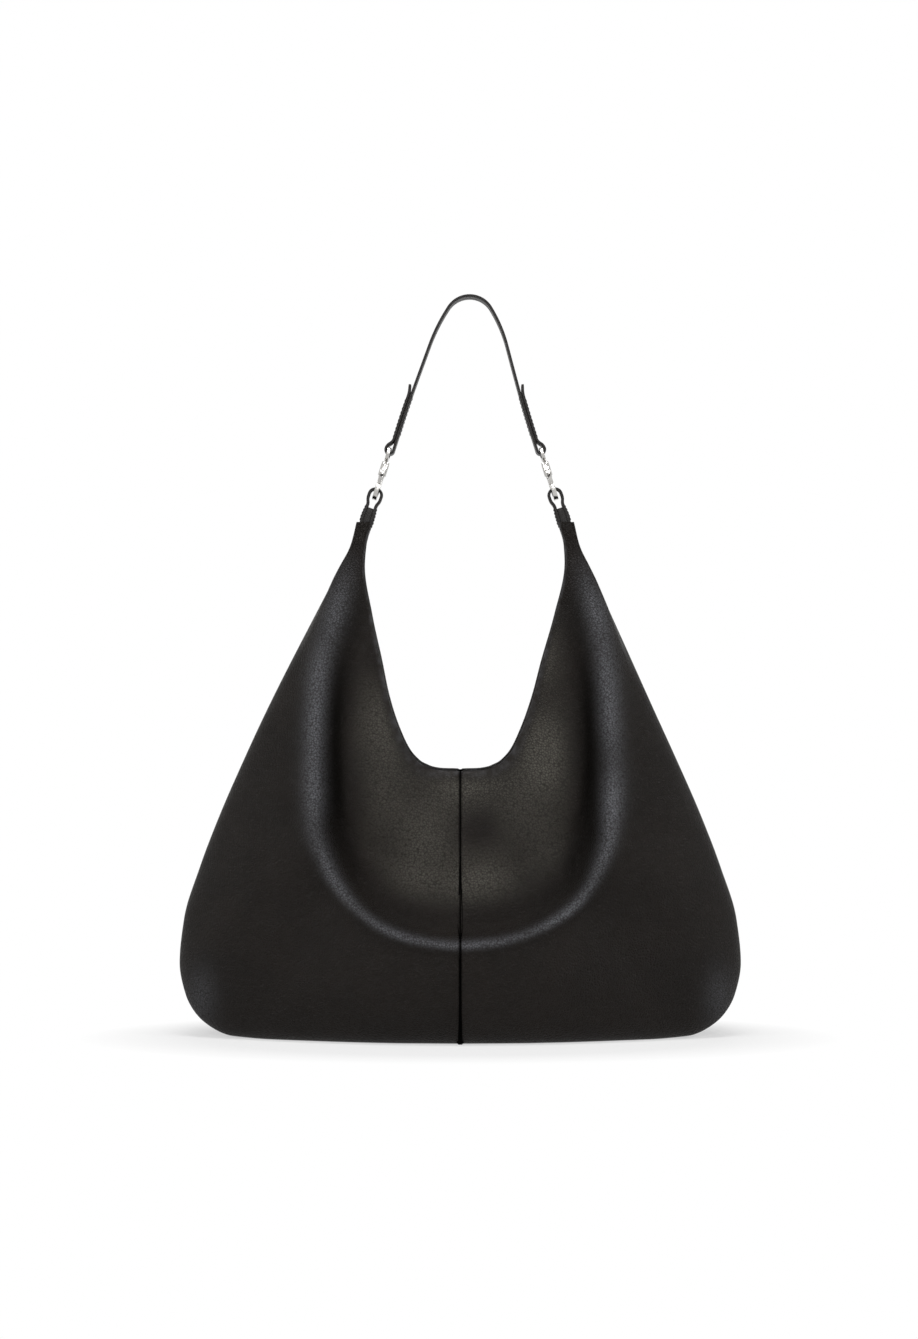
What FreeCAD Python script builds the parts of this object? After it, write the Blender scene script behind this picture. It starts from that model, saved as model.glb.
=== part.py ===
import FreeCAD, Part
import math
import os
from FreeCAD import Placement, Rotation, Vector

# A slouchy leather hobo bag. Four shell panels meet in an outer seam and centre seams and gather
# into two necks. A folded tab grows out of each neck, and two swivel trigger clasps hang a
# shoulder strap from the tabs. Inside are rim facings, a lining, a magnetic snap and a zip pocket.
# Millimetres, +Z up, X across the bag, -Y is the front. The origin is under the middle of the base.

doc = FreeCAD.newDocument("hobo_bag")
sheet = doc.addObject("Spreadsheet::Sheet", "sheet")

DRIVING_SIZES = {
    # leather and cloth: each layer's outer skin lies this far inside the bag's outer skin
    "panel_thick": 1.6,
    "pocket_inset": 3.2,
    "pocket_thick": 0.8,
    "pocket_slack": 5.0,
    "facing_inset": 3.8,
    "facing_thick": 1.2,
    "lining_inset": 6.6,
    "lining_thick": 0.8,
    "lining_slack": 6.0,
    "facing_width": 30.0,
    "seam_gap": 0.1,
    "lean": 4.0,
    # the fold that hangs from both necks round the sagging middle of the front
    "fold_half": 116.0,
    "fold_low": 76.0,
    "fold_turn": 175.0,
    "fold_gather": 25.0,
    "fold_hollow": 11.0,
    "back_sag": 0.7,
    "liner_sag": 0.7,
    # necks and tabs
    "neck_top": 413.0,
    "tab_width": 9.6,
    "tab_thick": 2.2,
    "tab_core": 4.2,
    "tab_eye": 7.8,
    "tab_tilt": 19.0,
    "tab_length": 42.0,
    "tab_bend": 5.0,
    "eye_drop": 15.0,
    "hang_half": 70.5,
    "hang_height": 439.5,
    # trigger clasps
    "clasp_tilt": 17.5,
    "hook_inner": 5.9,
    "hook_wire": 3.0,
    "hook_thick": 3.4,
    "nose_top": 4.5,
    "crossbar": 11.5,
    "barrel_radius": 3.2,
    "barrel_top": 21.0,
    "post_radius": 1.5,
    "running_fit": 0.05,
    "end_play": 0.2,
    "eye_bar": 33.0,
    "eye_wire": 2.6,
    "eye_inner": 19.4,
    "gate_pin_radius": 0.8,
    "gate_slot": 2.0,
    # strap
    "strap_width": 18.0,
    "strap_thick": 2.0,
    "strap_fold": 3.1,
    "strap_top": 594.0,
    "strap_crown": 20.0,
    # closure and inner pocket
    "snap_height": 200.0,
    "snap_radius": 9.0,
    "snap_thick": 2.6,
    "washer_radius": 6.5,
    "washer_thick": 0.5,
    "zip_height": 140.0,
    "zip_depth": 29.4,
    "zip_tilt": 8.8,
    "zip_length": 110.0,
    "tooth_pitch": 3.0,
}
for row, (name, value) in enumerate(DRIVING_SIZES.items(), start=1):
    sheet.set(f"A{row}", name)
    sheet.set(f"B{row}", str(value))
    sheet.setAlias(f"B{row}", name)
doc.recompute()


def size(name):
    return float(sheet.get(name))


# ---- bag shell: one quarter at a time, from the centre seam round the corner to the neck

# Each station: outer seam x and z, rim x and z, then half-depths of the foot at the seam,
# of the two handles that shape the belly, and of the rim.
STATIONS = (
    (0.0, 0.0, 0.0, 214.0, 38.0, 76.0, 66.0, 27.0),
    (44.0, 0.0, 7.5, 214.0, 36.2, 74.0, 65.3, 27.0),
    (80.0, 0.0, 12.7, 214.1, 31.3, 69.4, 63.8, 27.0),
    (105.0, 0.0, 16.0, 214.3, 26.0, 64.0, 62.0, 27.0),
    (150.0, 0.0, 23.0, 215.5, 14.0, 52.0, 58.0, 27.0),
    (182.0, 1.5, 28.0, 217.5, 5.0, 40.0, 56.0, 27.0),
    (206.0, 13.0, 32.0, 219.5, 2.6, 34.0, 56.0, 27.0),
    (220.0, 34.0, 36.0, 223.0, 2.6, 31.0, 56.0, 27.0),
    (225.0, 60.0, 40.0, 227.5, 2.6, 30.0, 55.0, 27.0),
    (221.5, 95.0, 44.0, 234.0, 2.6, 28.0, 51.0, 27.0),
    (209.0, 136.0, 49.0, 245.0, 2.6, 26.0, 45.0, 26.5),
    (193.0, 178.0, 54.0, 258.0, 2.6, 25.0, 40.0, 26.0),
    (172.0, 226.0, 59.5, 276.0, 2.6, 23.0, 34.0, 24.5),
    (146.0, 282.0, 65.5, 302.0, 2.8, 21.0, 28.0, 22.0),
    (118.0, 340.0, 75.0, 341.0, 3.2, 17.0, 20.0, 17.0),
    (99.0, 379.0, 81.5, 379.0, 4.8, 13.0, 13.0, 11.0),
    (91.5, 395.0, 80.5, 395.0, 6.6, 9.5, 9.5, 8.6),
    (87.0, 413.0, 75.5, 413.0, 7.0, 8.2, 8.2, 7.6),
)
NEAR_HANDLE = 0.06
FAR_HANDLE = 0.62
LEAN_FROM = 240.0
LINING_UPRIGHT = 190.0
PANEL_FACETS = 9
LINER_FACETS = 6
LINING_STATIONS = 15
FACING_STATIONS = 16
POCKET_STATIONS = 5


def ease(value, low, high):
    """Smooth step from 0 at low to 1 at high."""
    share = min(max((value - low) / (high - low), 0.0), 1.0)
    return share * share * (3.0 - 2.0 * share)


def lean(z):
    """Sideways shift of the gathered top: nothing low down, whole at the necks and above."""
    return size("lean") * ease(z, LEAN_FROM, size("neck_top"))


def inside_fold(x, z):
    """How far a point of the front lies inside the U-shaped fold: half an ellipse, then two arms."""
    half, turn = size("fold_half"), size("fold_turn")
    if z < turn:
        return half * (1.0 - math.hypot(x / half, (turn - z) / (turn - size("fold_low"))))
    rise = (z - turn) / (size("neck_top") - turn)
    return half - size("fold_gather") * rise ** 2.2 - abs(x)


def hollow(x, z, from_rim):
    """Depth by which the front sags inside the fold; it fades out towards the rim and the necks."""
    inside = inside_fold(x, z)
    sag = ease(inside, -2.0, 26.0) * (1.0 - 0.45 * ease(inside, 30.0, 95.0))
    return size("fold_hollow") * sag * ease(from_rim, 32.0, 66.0)


def section_length(station):
    return math.hypot(station[2] - station[0], station[3] - station[1])


def skin(station, inset, slack=0.0):
    """Half-depth of one skin over the distance from the seam, as a curve in the section plane.

    Slack draws a loose layer inward in the middle of the bag, where the leather bellies out."""
    foot, near, far, rim = station[4:]
    slack *= 1.0 - ease(station[0], 110.0, 200.0)
    length = section_length(station)
    curve = Part.BezierCurve()
    curve.setPoles([
        Vector(inset, max(foot - inset, 3.0 * size("seam_gap")), 0),
        Vector(NEAR_HANDLE * length + inset, near - inset - slack, 0),
        Vector(FAR_HANDLE * length, far - inset - slack, 0),
        Vector(length, rim - inset, 0),
    ])
    return curve


def share_at(curve, distance):
    """Curve parameter where the distance from the seam has the given value."""
    low, high = 0.0, 1.0
    for _ in range(40):
        middle = 0.5 * (low + high)
        if curve.value(middle).x < distance:
            low = middle
        else:
            high = middle
    return 0.5 * (low + high)


def place(station, side, hand, flat, sag=0.0):
    """Move a point of the section plane (distance from the seam, depth) to its place."""
    seam_x, seam_z, rim_x, rim_z = station[:4]
    share = flat.x / section_length(station)
    x = seam_x + (rim_x - seam_x) * share
    z = seam_z + (rim_z - seam_z) * share
    if seam_x == 0.0:
        x += size("seam_gap")
    depth = flat.y - sag * hollow(x, z, section_length(station) - flat.x)
    return Vector(hand * x + lean(z), side * depth, z)


def skin_row(station, side, hand, inset, part_of, facets):
    """Points of one skin at one station: the whole skin, its facing band or the lining below."""
    loose = {"lining": size("lining_slack"), "pocket": size("pocket_slack")}
    curve = skin(station, inset, loose.get(part_of, 0.0))
    length = section_length(station)
    band = min(size("facing_width"), 0.55 * length)
    low, high = 0.0, 1.0
    if part_of == "facing":
        low = share_at(curve, length - band)
    elif part_of == "lining":
        high = share_at(curve, length - band + 4.0)
    elif part_of == "pocket":
        low, high = share_at(curve, 45.0), share_at(curve, size("zip_height") + 8.0)
    shares = [low + (high - low) * step / facets for step in range(facets + 1)]
    points = [curve.value(share) for share in shares]
    if low == 0.0:
        points.insert(0, Vector(inset, size("seam_gap"), 0))
    sag = {"whole": 1.0, "facing": 0.0}.get(part_of, size("liner_sag"))
    if side > 0:
        sag *= size("back_sag")
    row = [place(station, side, hand, point, sag) for point in points]
    if part_of == "lining" and side > 0:
        for point in row:
            point.y = min(point.y, zip_front(point.z) + size("lining_inset") - inset + 2.3)
    return row


def zip_front(z):
    """Depth of the zip's plane, on which the back lining lies flat; upright above the mouth's edge."""
    rise = min(z, LINING_UPRIGHT) - size("zip_height")
    return size("zip_depth") - rise * math.tan(math.radians(size("zip_tilt")))


def triangles(a, b, c, d):
    return [Part.Face(Part.makePolygon([a, b, c, a])), Part.Face(Part.makePolygon([a, c, d, a]))]


def thick_sheet(outer, inner):
    """Closed solid between two grids of points, quilted from flat triangles."""
    faces = []
    for grid in (outer, inner):
        for row, above in zip(grid, grid[1:]):
            for k in range(len(row) - 1):
                faces += triangles(row[k], row[k + 1], above[k + 1], above[k])
    for k in (0, -1):
        for n in range(len(outer) - 1):
            faces += triangles(outer[n][k], outer[n + 1][k], inner[n + 1][k], inner[n][k])
        row, under = outer[k], inner[k]
        for n in range(len(row) - 1):
            faces += triangles(row[n], row[n + 1], under[n + 1], under[n])
    shell = Part.Shell(faces)
    shell.sewShape()
    solid = Part.Solid(shell)
    if solid.Volume < 0:
        solid.reverse()
    return solid


def layer(side, hands, inset, thick, part_of, count, facets):
    """One layer of the bag on one side: a single quarter, or both quarters in one piece."""
    grids = []
    for depth in (inset, inset + thick):
        rows = []
        for hand in hands:
            half = [skin_row(s, side, hand, depth, part_of, facets) for s in STATIONS[:count]]
            if rows:
                rows.reverse()
                half = half[1:]
            rows += half
        grids.append(rows)
    return thick_sheet(*grids)


def keep(label, shape, placement=None):
    """Store a shape made by Part functions as a sub-part of its own."""
    part = doc.addObject("Part::Feature", label)
    part.Label = label
    part.Shape = shape
    if placement:
        part.Placement = placement
    return part


def bag_shell():
    both = (-1, 1)
    for side, word in ((-1, "front"), (1, "back")):
        for hand, way in ((-1, "left"), (1, "right")):
            panel = layer(side, (hand,), 0.0, size("panel_thick"), "whole", len(STATIONS), PANEL_FACETS)
            keep(f"{word}_panel_{way}", panel)
        facing = layer(side, both, size("facing_inset"), size("facing_thick"), "facing",
                       FACING_STATIONS, 2)
        keep(f"{word}_facing", facing)
        lining = layer(side, both, size("lining_inset"), size("lining_thick"), "lining",
                       LINING_STATIONS, LINER_FACETS)
        if side > 0:
            lining = lining.cut(zip_slot())
        keep(f"{word}_lining", lining)
    pocket = layer(1, both, size("pocket_inset"), size("pocket_thick"), "pocket", POCKET_STATIONS, 3)
    keep("zip_pocket_bag", pocket)


# ---- sketches made from a walk: straight runs and turns, or corners and arcs

def walk(start, heading, steps, shift=0.0):
    """Follow straight runs ("run", length) and turns ("turn", radius, degrees to the left).

    Returns the edges of the path moved to its left by shift, and where the path itself ends."""
    edges = []
    spot, angle = Vector(start), math.radians(heading)

    def beside(point, direction):
        return point + Vector(-math.sin(direction), math.cos(direction), 0) * shift

    for step in steps:
        if step[0] == "run":
            after = spot + Vector(math.cos(angle), math.sin(angle), 0) * step[1]
            edges.append(Part.LineSegment(beside(spot, angle), beside(after, angle)))
            spot = after
        else:
            radius, turn = step[1], math.radians(step[2])
            sign = math.copysign(1.0, turn)
            to_centre = Vector(-math.sin(angle), math.cos(angle), 0) * radius * sign

            centre = spot + to_centre
            through = []
            for share in (0.0, 0.5, 1.0):
                turned = Rotation(Vector(0, 0, 1), share * step[2]).multVec(to_centre)
                through.append(beside(centre - turned, angle + share * turn))
                after = centre - turned
            edges.append(Part.Arc(*through))
            spot = after
            angle += turn
    return edges, spot, math.degrees(angle)


def ribbon(start, heading, steps, thick):
    """Closed outline of a strip of even thickness along a walk."""
    left = walk(start, heading, steps, 0.5 * thick)[0]
    right = walk(start, heading, steps, -0.5 * thick)[0]
    tip = Part.LineSegment(left[0].StartPoint, right[0].StartPoint)
    tail = Part.LineSegment(left[-1].EndPoint, right[-1].EndPoint)
    return left + right + [tip, tail]


def outline(start, *moves):
    """Closed outline: each move is a corner (x, y) or an arc (x, y through, x, y to)."""
    edges, spot = [], Vector(*start, 0)
    for move in moves:
        after = Vector(*move[-2:], 0)
        if len(move) == 2:
            edges.append(Part.LineSegment(spot, after))
        else:
            edges.append(Part.Arc(spot, Vector(*move[:2], 0), after))
        spot = after
    if spot.distanceToPoint(Vector(*start, 0)) > 1e-6:
        edges.append(Part.LineSegment(spot, Vector(*start, 0)))
    return edges


def circle(x, y, radius):
    return [Part.Circle(Vector(x, y, 0), Vector(0, 0, 1), radius)]


# ---- part design helpers

def new_body(label):
    body = doc.addObject("PartDesign::Body", label)
    body.Label = label
    return body


def new_sketch(body, role, edges, offset=0.0):
    sketch = body.newObject("Sketcher::SketchObject", f"{body.Label}_sketch")
    plane = next(f for f in body.Origin.OriginFeatures if f.Role == role)
    sketch.AttachmentSupport = [(plane, "")]
    sketch.MapMode = "FlatFace"
    if offset:
        sketch.AttachmentOffset = Placement(Vector(0, 0, offset), Rotation())
    sketch.addGeometry(edges)
    return sketch


def pad(body, role, edges, length, offset=0.0, one_way=False):
    """Pad an outline, by default evenly to both sides of its plane; length is an expression."""
    sketch = new_sketch(body, role, edges, offset)
    feature = body.newObject("PartDesign::Pad", f"{body.Label}_pad")
    feature.Profile = sketch
    feature.SideType = "One side" if one_way else "Symmetric"
    feature.setExpression("Length", length)
    doc.recompute()
    return feature


def pocket(body, role, edges, length, offset=0.0):
    """Cut an outline evenly to both sides of its plane."""
    before = body.Shape.Volume
    sketch = new_sketch(body, role, edges, offset)
    feature = body.newObject("PartDesign::Pocket", f"{body.Label}_pocket")
    feature.Profile = sketch
    feature.SideType = "Symmetric"
    feature.setExpression("Length", length)
    doc.recompute()
    if body.Shape.Volume > before - 1e-3:
        raise RuntimeError(f"{body.Label}: pocket cut nothing")
    return feature


# ---- where the hardware hangs: both tabs, clasps and strap ends mirror about the leaning middle

def hang_point(hand):
    """Middle of the tab's turn, round which the hook swings."""
    return Vector(hand * size("hang_half") + size("lean"), 0, size("hang_height"))


def clasp_place(hand):
    return Placement(hang_point(hand), Rotation(Vector(0, 1, 0), -hand * size("clasp_tilt")))


def tab_place(hand):
    return Placement(hang_point(hand), Rotation(Vector(0, 1, 0), -hand * size("tab_tilt")))


WAYS = ((-1, "left"), (1, "right"))


# ---- tabs: a leather strip folded over a filler, with an open eye that the hook passes through

def tabs():
    """Drawn in the XZ plane with the middle of the turn at the origin and the neck below."""
    thick, core, eye = size("tab_thick"), size("tab_core"), size("tab_eye")
    half_eye, half_core = 0.5 * eye + 0.5 * thick, 0.5 * core + 0.5 * thick
    swell = half_eye - half_core
    bend = 9.0
    turn = math.degrees(math.acos(1.0 - 0.5 * swell / bend))
    rise = 2.0 * bend * math.sin(math.radians(turn))
    straight = size("eye_drop") - half_eye - rise
    eye_side = [("turn", half_eye, 90), ("run", straight), ("turn", bend, turn), ("turn", bend, -turn)]
    kink, kink_radius, upper = size("tab_bend"), 30.0, 9.0
    lower = size("tab_length") - size("eye_drop") - upper - kink_radius * math.radians(kink)

    def strand(hand):
        """Lower part of one strand: straight, then bent in line with the neck."""
        return [("run", upper), ("turn", kink_radius - hand * half_core, -hand * kink), ("run", lower)]

    for hand, way in WAYS:
        near, far = eye_side + strand(hand), eye_side + strand(-hand)
        _, end, heading = walk(Vector(0, 0, 0), 180.0, far)
        body = new_body(f"{way}_tab")
        start = Vector(-end.x, end.y, 0)
        pad(body, "XZ_Plane", ribbon(start, -heading, far[::-1] + near, thick), "sheet.tab_width")
        body.Placement = tab_place(hand)
        filler = new_body(f"{way}_tab_filler")
        middle = [("run", upper - 1.0), ("turn", kink_radius, -hand * kink), ("run", lower - 1.0)]
        edges = ribbon(Vector(0, -size("eye_drop") - 1.0, 0), 270.0, middle, core - 0.1)
        pad(filler, "XZ_Plane", edges, "sheet.tab_width - 0.6")
        filler.Placement = tab_place(hand)


# ---- trigger clasp, drawn in the YZ plane with the hook's round opening at the origin

GATE_HUB = (-7.1, 14.0)
HUB_RADIUS = 2.5


def hook_body(way, hand):
    inner, outer = size("hook_inner"), size("hook_inner") + size("hook_wire")
    nose, bar = size("nose_top"), size("crossbar")
    barrel, top = size("barrel_radius"), size("barrel_top")
    middle = 0.5 * (inner + outer)
    hub_y, hub_z = GATE_HUB
    body = new_body(f"{way}_hook")
    edges = outline(
        (-outer, 0.0),
        (-outer, nose - 0.5 * size("hook_wire")),
        (-middle, nose, -inner, nose - 0.5 * size("hook_wire")),
        (-inner, 0.0),
        (0.0, -inner, inner, 0.0),
        (inner, bar - 2.5),
        (inner - 0.73, bar - 0.73, inner - 2.5, bar),
        (hub_y, bar),
        (hub_y - HUB_RADIUS, hub_z, hub_y, hub_z + HUB_RADIUS),
        (-barrel, hub_z + HUB_RADIUS),
        (-barrel, 18.4),
        (barrel, 18.4),
        (barrel, 17.6),
        (outer - 1.2, 14.6, outer, 11.5),
        (outer, 0.0),
        (0.0, -outer, -outer, 0.0),
    )
    pad(body, "YZ_Plane", edges, "sheet.hook_thick")
    pad(body, "XY_Plane", circle(0, 0, barrel), "sheet.barrel_top - sheet.crossbar", bar, True)
    drill(body, size("post_radius") + size("running_fit"), bar, top)
    slot = outline((-13.0, 8.5), (hub_y + 2.9, 8.5), (hub_y + 2.9, 17.5), (-13.0, 17.5))
    pocket(body, "YZ_Plane", slot, "sheet.gate_slot")
    drill_across(body, size("gate_pin_radius"), hub_y, hub_z)
    body.Placement = clasp_place(hand)


def drill(body, radius, low, high):
    """Hole along Z between two heights."""
    sketch = new_sketch(body, "XY_Plane", circle(0, 0, radius), 0.5 * (low + high))
    cut_even(body, sketch, high - low + 1.0)


def drill_across(body, radius, y, z):
    """Hole along X, right through."""
    sketch = new_sketch(body, "YZ_Plane", circle(y, z, radius))
    cut_even(body, sketch, 20.0)


def cut_even(body, sketch, length):
    before = body.Shape.Volume
    feature = body.newObject("PartDesign::Pocket", f"{body.Label}_hole")
    feature.Profile = sketch
    feature.SideType = "Symmetric"
    feature.Length = length
    doc.recompute()
    if body.Shape.Volume > before - 1e-3:
        raise RuntimeError(f"{body.Label}: hole cut nothing")


def gate(way, hand):
    """Spring gate: a tongue on the pin, a bar down to the nose and a spur for the thumb."""
    inner, outer = size("hook_inner"), size("hook_inner") + size("hook_wire")
    hub_y, hub_z = GATE_HUB
    foot = size("nose_top") + 0.3
    body = new_body(f"{way}_gate")
    tongue = outline(
        (hub_y - 1.9, hub_z),
        (hub_y, hub_z + 1.9, hub_y + 1.9, hub_z),
        (hub_y + 1.0, 10.6),
        (-outer + 0.4, 10.6),
    )
    pad(body, "YZ_Plane", tongue, "sheet.gate_slot - 0.2")
    bar = outline(
        (-outer + 0.2, foot),
        (-inner - 0.2, foot),
        (-inner - 0.2, 10.9),
        (hub_y - 0.2, 11.3),
        (-outer - 0.6, 10.9),
        (-12.4, 12.6),
        (-13.2, 11.9),
        (-10.2, 9.2, -outer, 7.2),
    )
    pad(body, "YZ_Plane", bar, "sheet.hook_thick - 0.4")
    drill_across(body, size("gate_pin_radius") + size("running_fit"), hub_y, hub_z)
    body.Placement = clasp_place(hand)


def gate_pin(way, hand):
    body = new_body(f"{way}_gate_pin")
    pad(body, "YZ_Plane", circle(*GATE_HUB, size("gate_pin_radius")), "sheet.hook_thick")
    body.Placement = clasp_place(hand)


def gate_spring(way, hand):
    """Leaf spring: a bent strip seated in the slot's end that bears on the tongue."""
    body = new_body(f"{way}_gate_spring")
    steps = [("run", 1.3), ("turn", 4.0, -14.0), ("run", 1.8)]
    leaf = ribbon(Vector(GATE_HUB[0] + 2.68, 16.3, 0), -90.0, steps, 0.3)
    pad(body, "YZ_Plane", leaf, "sheet.gate_slot - 0.4")
    body.Placement = clasp_place(hand)


def swivel_eye(way, hand):
    """D-shaped eye with a riveted post that turns in the hook's barrel."""
    wire, half = size("eye_wire"), 0.5 * size("eye_inner")
    play = size("end_play")
    top = size("eye_bar") + 0.5 * wire
    foot = size("barrel_top") + play + 1.4
    body = new_body(f"{way}_swivel_eye")
    frame = outline(
        (-3.0, foot), (3.0, foot), (7.6, foot + 1.6),
        (half + 1.4, foot + 3.6, half + wire, foot + 7.4),
        (half + wire, top - 2.2),
        (half + wire - 0.7, top - 0.7, half + wire - 2.2, top),
        (-half - wire + 2.2, top),
        (-half - wire + 0.7, top - 0.7, -half - wire, top - 2.2),
        (-half - wire, foot + 7.4),
        (-half - 1.4, foot + 3.6, -7.6, foot + 1.6),
    )
    window = outline(
        (-6.6, foot + 4.0), (6.6, foot + 4.0),
        (half - 0.9, foot + 5.4, half, foot + 7.8),
        (half, top - wire), (-half, top - wire),
        (-half, foot + 7.8),
        (-half + 0.9, foot + 5.4, -6.6, foot + 4.0),
    )
    pad(body, "YZ_Plane", frame, "sheet.eye_wire")
    pocket(body, "YZ_Plane", window, "sheet.eye_wire + 1")
    pad(body, "XY_Plane", circle(0, 0, 3.0), "1.6", foot - 1.4, True)
    length = foot - size("crossbar") + play
    pad(body, "XY_Plane", circle(0, 0, size("post_radius")), f"{length}", foot - length, True)
    pad(body, "XY_Plane", circle(0, 0, 2.4), "1.3", size("crossbar") - play - 1.3, True)
    body.Placement = clasp_place(hand)


def clasps():
    for hand, way in WAYS:
        hook_body(way, hand)
        gate(way, hand)
        gate_pin(way, hand)
        gate_spring(way, hand)
        swivel_eye(way, hand)


# ---- strap: one strip over a round crown, each end folded round its eye's bar and doubled back

def strap():
    tilt, fold, crown = size("clasp_tilt"), size("strap_fold"), size("strap_crown")
    thick, leg_turn = size("strap_thick"), 15.0
    bar = hang_point(1) + clasp_place(1).Rotation.multVec(Vector(0, 0, size("eye_bar")))
    side_way = math.radians(tilt)
    start_x = bar.x - size("lean") - fold * math.cos(side_way)
    start_z = bar.z - fold * math.sin(side_way)
    upper = math.radians(tilt + leg_turn)
    across = start_x - crown * math.cos(upper)
    up = size("strap_top") - start_z - crown * (1.0 - math.sin(upper))
    bend_x = math.cos(side_way) - math.cos(upper)
    bend_z = math.sin(upper) - math.sin(side_way)
    shoulder = (across * math.cos(side_way) - up * math.sin(side_way)) / (
        bend_x * math.cos(side_way) - bend_z * math.sin(side_way))
    leg = (across - bend_x * shoulder) / math.sin(side_way)
    closing = 2.0 * fold - thick - 0.3
    curl = 16.0
    swerve = math.degrees(math.acos(1.0 - 0.5 * closing / curl))
    half = [
        ("turn", crown, -(90.0 - tilt - leg_turn)), ("turn", shoulder, -leg_turn), ("run", leg),
        ("turn", fold, 180.0), ("turn", curl, swerve), ("turn", curl, -swerve), ("run", 30.0),
        ("turn", 24.0, -14.0), ("run", 4.0),
    ]
    _, tip, heading = walk(Vector(0, size("strap_top"), 0), 0.0, half)
    start = Vector(-tip.x, tip.y, 0)
    body = new_body("strap")
    pad(body, "XZ_Plane", ribbon(start, -heading, half[::-1] + half, thick), "sheet.strap_width")
    body.Placement = Placement(Vector(size("lean"), 0, 0), Rotation())


# ---- magnetic snap on the rim facings

def snap_place(side, out):
    """Frame on the facing's inner skin in the middle of the bag; its Z axis points inward."""
    middle = STATIONS[0]
    curve = skin(middle, size("facing_inset") + size("facing_thick") + out)
    below, spot, above = [
        place(middle, side, 1, curve.value(share_at(curve, size("snap_height") + step)))
        for step in (-8.0, 0.0, 8.0)
    ]
    rise = above - below
    inward = Vector(0, -side * rise.z, side * rise.y)
    return Placement(Vector(0, spot.y, spot.z), Rotation(Vector(0, 0, 1), inward))


def snap():
    thick, radius = size("snap_thick"), size("snap_radius")
    stud = new_body("snap_stud")
    pad(stud, "XY_Plane", circle(0, 0, radius), "sheet.snap_thick", 0.0, True)
    pad(stud, "XY_Plane", circle(0, 0, 3.4), "1.6", thick, True)
    stud.Placement = snap_place(-1, 0.4)
    socket = new_body("snap_socket")
    pad(socket, "XY_Plane", circle(0, 0, radius), "sheet.snap_thick + 0.8", 0.0, True)
    sketch = new_sketch(socket, "XY_Plane", circle(0, 0, 3.6), thick + 0.8)
    cut_even(socket, sketch, 3.4)
    socket.Placement = snap_place(1, 0.4)
    for side, word in ((-1, "front"), (1, "back")):
        washer = new_body(f"snap_washer_{word}")
        pad(washer, "XY_Plane", circle(0, 0, size("washer_radius")), "sheet.washer_thick", 0.0, True)
        washer.Placement = snap_place(side, -size("facing_thick") - size("washer_thick") - 0.1)


# ---- zip of the inner pocket: drawn in the XZ plane, teeth to the front, then tilted with the lining

def zip_place(x=0.0):
    return Placement(Vector(x, size("zip_depth"), size("zip_height")),
                     Rotation(Vector(1, 0, 0), size("zip_tilt")))


def comb(direction, shift):
    """Outline of a row of teeth on a cord, its teeth reaching towards the middle line."""
    pitch, length = size("tooth_pitch"), size("zip_length")
    points = [(-0.5 * length, direction * 3.0)]
    count = int((length - 12.0) / pitch)
    for n in range(count):
        x = -0.5 * length + 3.0 + shift + n * pitch
        root, tip = direction * 2.2, direction * 0.9
        points += [(x, root), (x + 0.25, tip), (x + 1.35, tip), (x + 1.6, root)]
    points += [(0.5 * length, direction * 2.2), (0.5 * length, direction * 3.0)]
    points.insert(1, (-0.5 * length, direction * 2.2))
    return outline(*points)


def zip_slot():
    """Space of the pocket's mouth, as long as the welt's window and deep enough to pass the lining."""
    long = size("zip_length") + 2.0
    space = Part.makeBox(long, 30.0, 11.0, Vector(-0.5 * long, -6.0, -5.5))
    space.Placement = zip_place()
    return space


def zip_pocket():
    half, tall = 0.5 * size("zip_length") + 7.0, 11.0
    welt = new_body("zip_welt")
    pad(welt, "XZ_Plane", outline((-half, -tall), (half, -tall), (half, tall), (-half, tall)), "1.2")
    window = outline((-half + 6.0, -6.0), (half - 6.0, -6.0), (half - 6.0, 6.0), (-half + 6.0, 6.0))
    pocket(welt, "XZ_Plane", window, "4")
    welt.Placement = zip_place()
    for direction, word in ((1, "upper"), (-1, "lower")):
        tape = new_body(f"zip_tape_{word}")
        near, far = direction * 1.6, direction * 10.0
        edges = outline((-half + 2.0, near), (half - 2.0, near), (half - 2.0, far), (-half + 2.0, far))
        pad(tape, "XZ_Plane", edges, "0.5")
        tape.Placement = zip_place().multiply(Placement(Vector(0, 1.0, 0), Rotation()))
        teeth = new_body(f"zip_teeth_{word}")
        shift = 0.0 if direction > 0 else 0.5 * size("tooth_pitch")
        pad(teeth, "XZ_Plane", comb(direction, shift), "1.2")
        teeth.Placement = zip_place().multiply(Placement(Vector(0, 0.05, 0), Rotation()))
    slider = new_body("zip_slider")
    start = 0.5 * size("zip_length") - 8.0
    pad(slider, "YZ_Plane", outline((-2.1, -4.2), (1.9, -4.2), (1.9, 4.2), (-2.1, 4.2)), "11")
    for up in (-1, 1):
        groove = outline((-0.9, up * 0.45), (-0.9, up * 3.4), (0.6, up * 3.4), (0.6, up * 4.4),
                         (1.55, up * 4.4), (1.55, up * 0.45))
        pocket(slider, "YZ_Plane", groove, "12")
    bridge = outline((-4.4, -2.0), (-3.4, -4.4), (3.4, -4.4), (4.4, -2.0), (2.4, -2.0), (2.4, -3.5),
                     (-2.4, -3.5), (-2.4, -2.0))
    pad(slider, "XY_Plane", bridge, "2")
    slider.Placement = zip_place(start)
    pull = new_body("zip_pull")
    plate = outline((-0.5, -2.5), (5.4, -2.5), (7.4, -3.2), (19.0, -3.2), (22.2, 0.0, 19.0, 3.2),
                    (7.4, 3.2), (5.4, 2.5), (-0.5, 2.5))
    pad(pull, "XZ_Plane", plate, "0.8")
    pocket(pull, "XZ_Plane", outline((0.5, -1.5), (5.0, -1.5), (5.0, 1.5), (0.5, 1.5)), "2")
    pull.Placement = zip_place(start).multiply(Placement(Vector(0, -2.8, 0), Rotation()))


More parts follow.
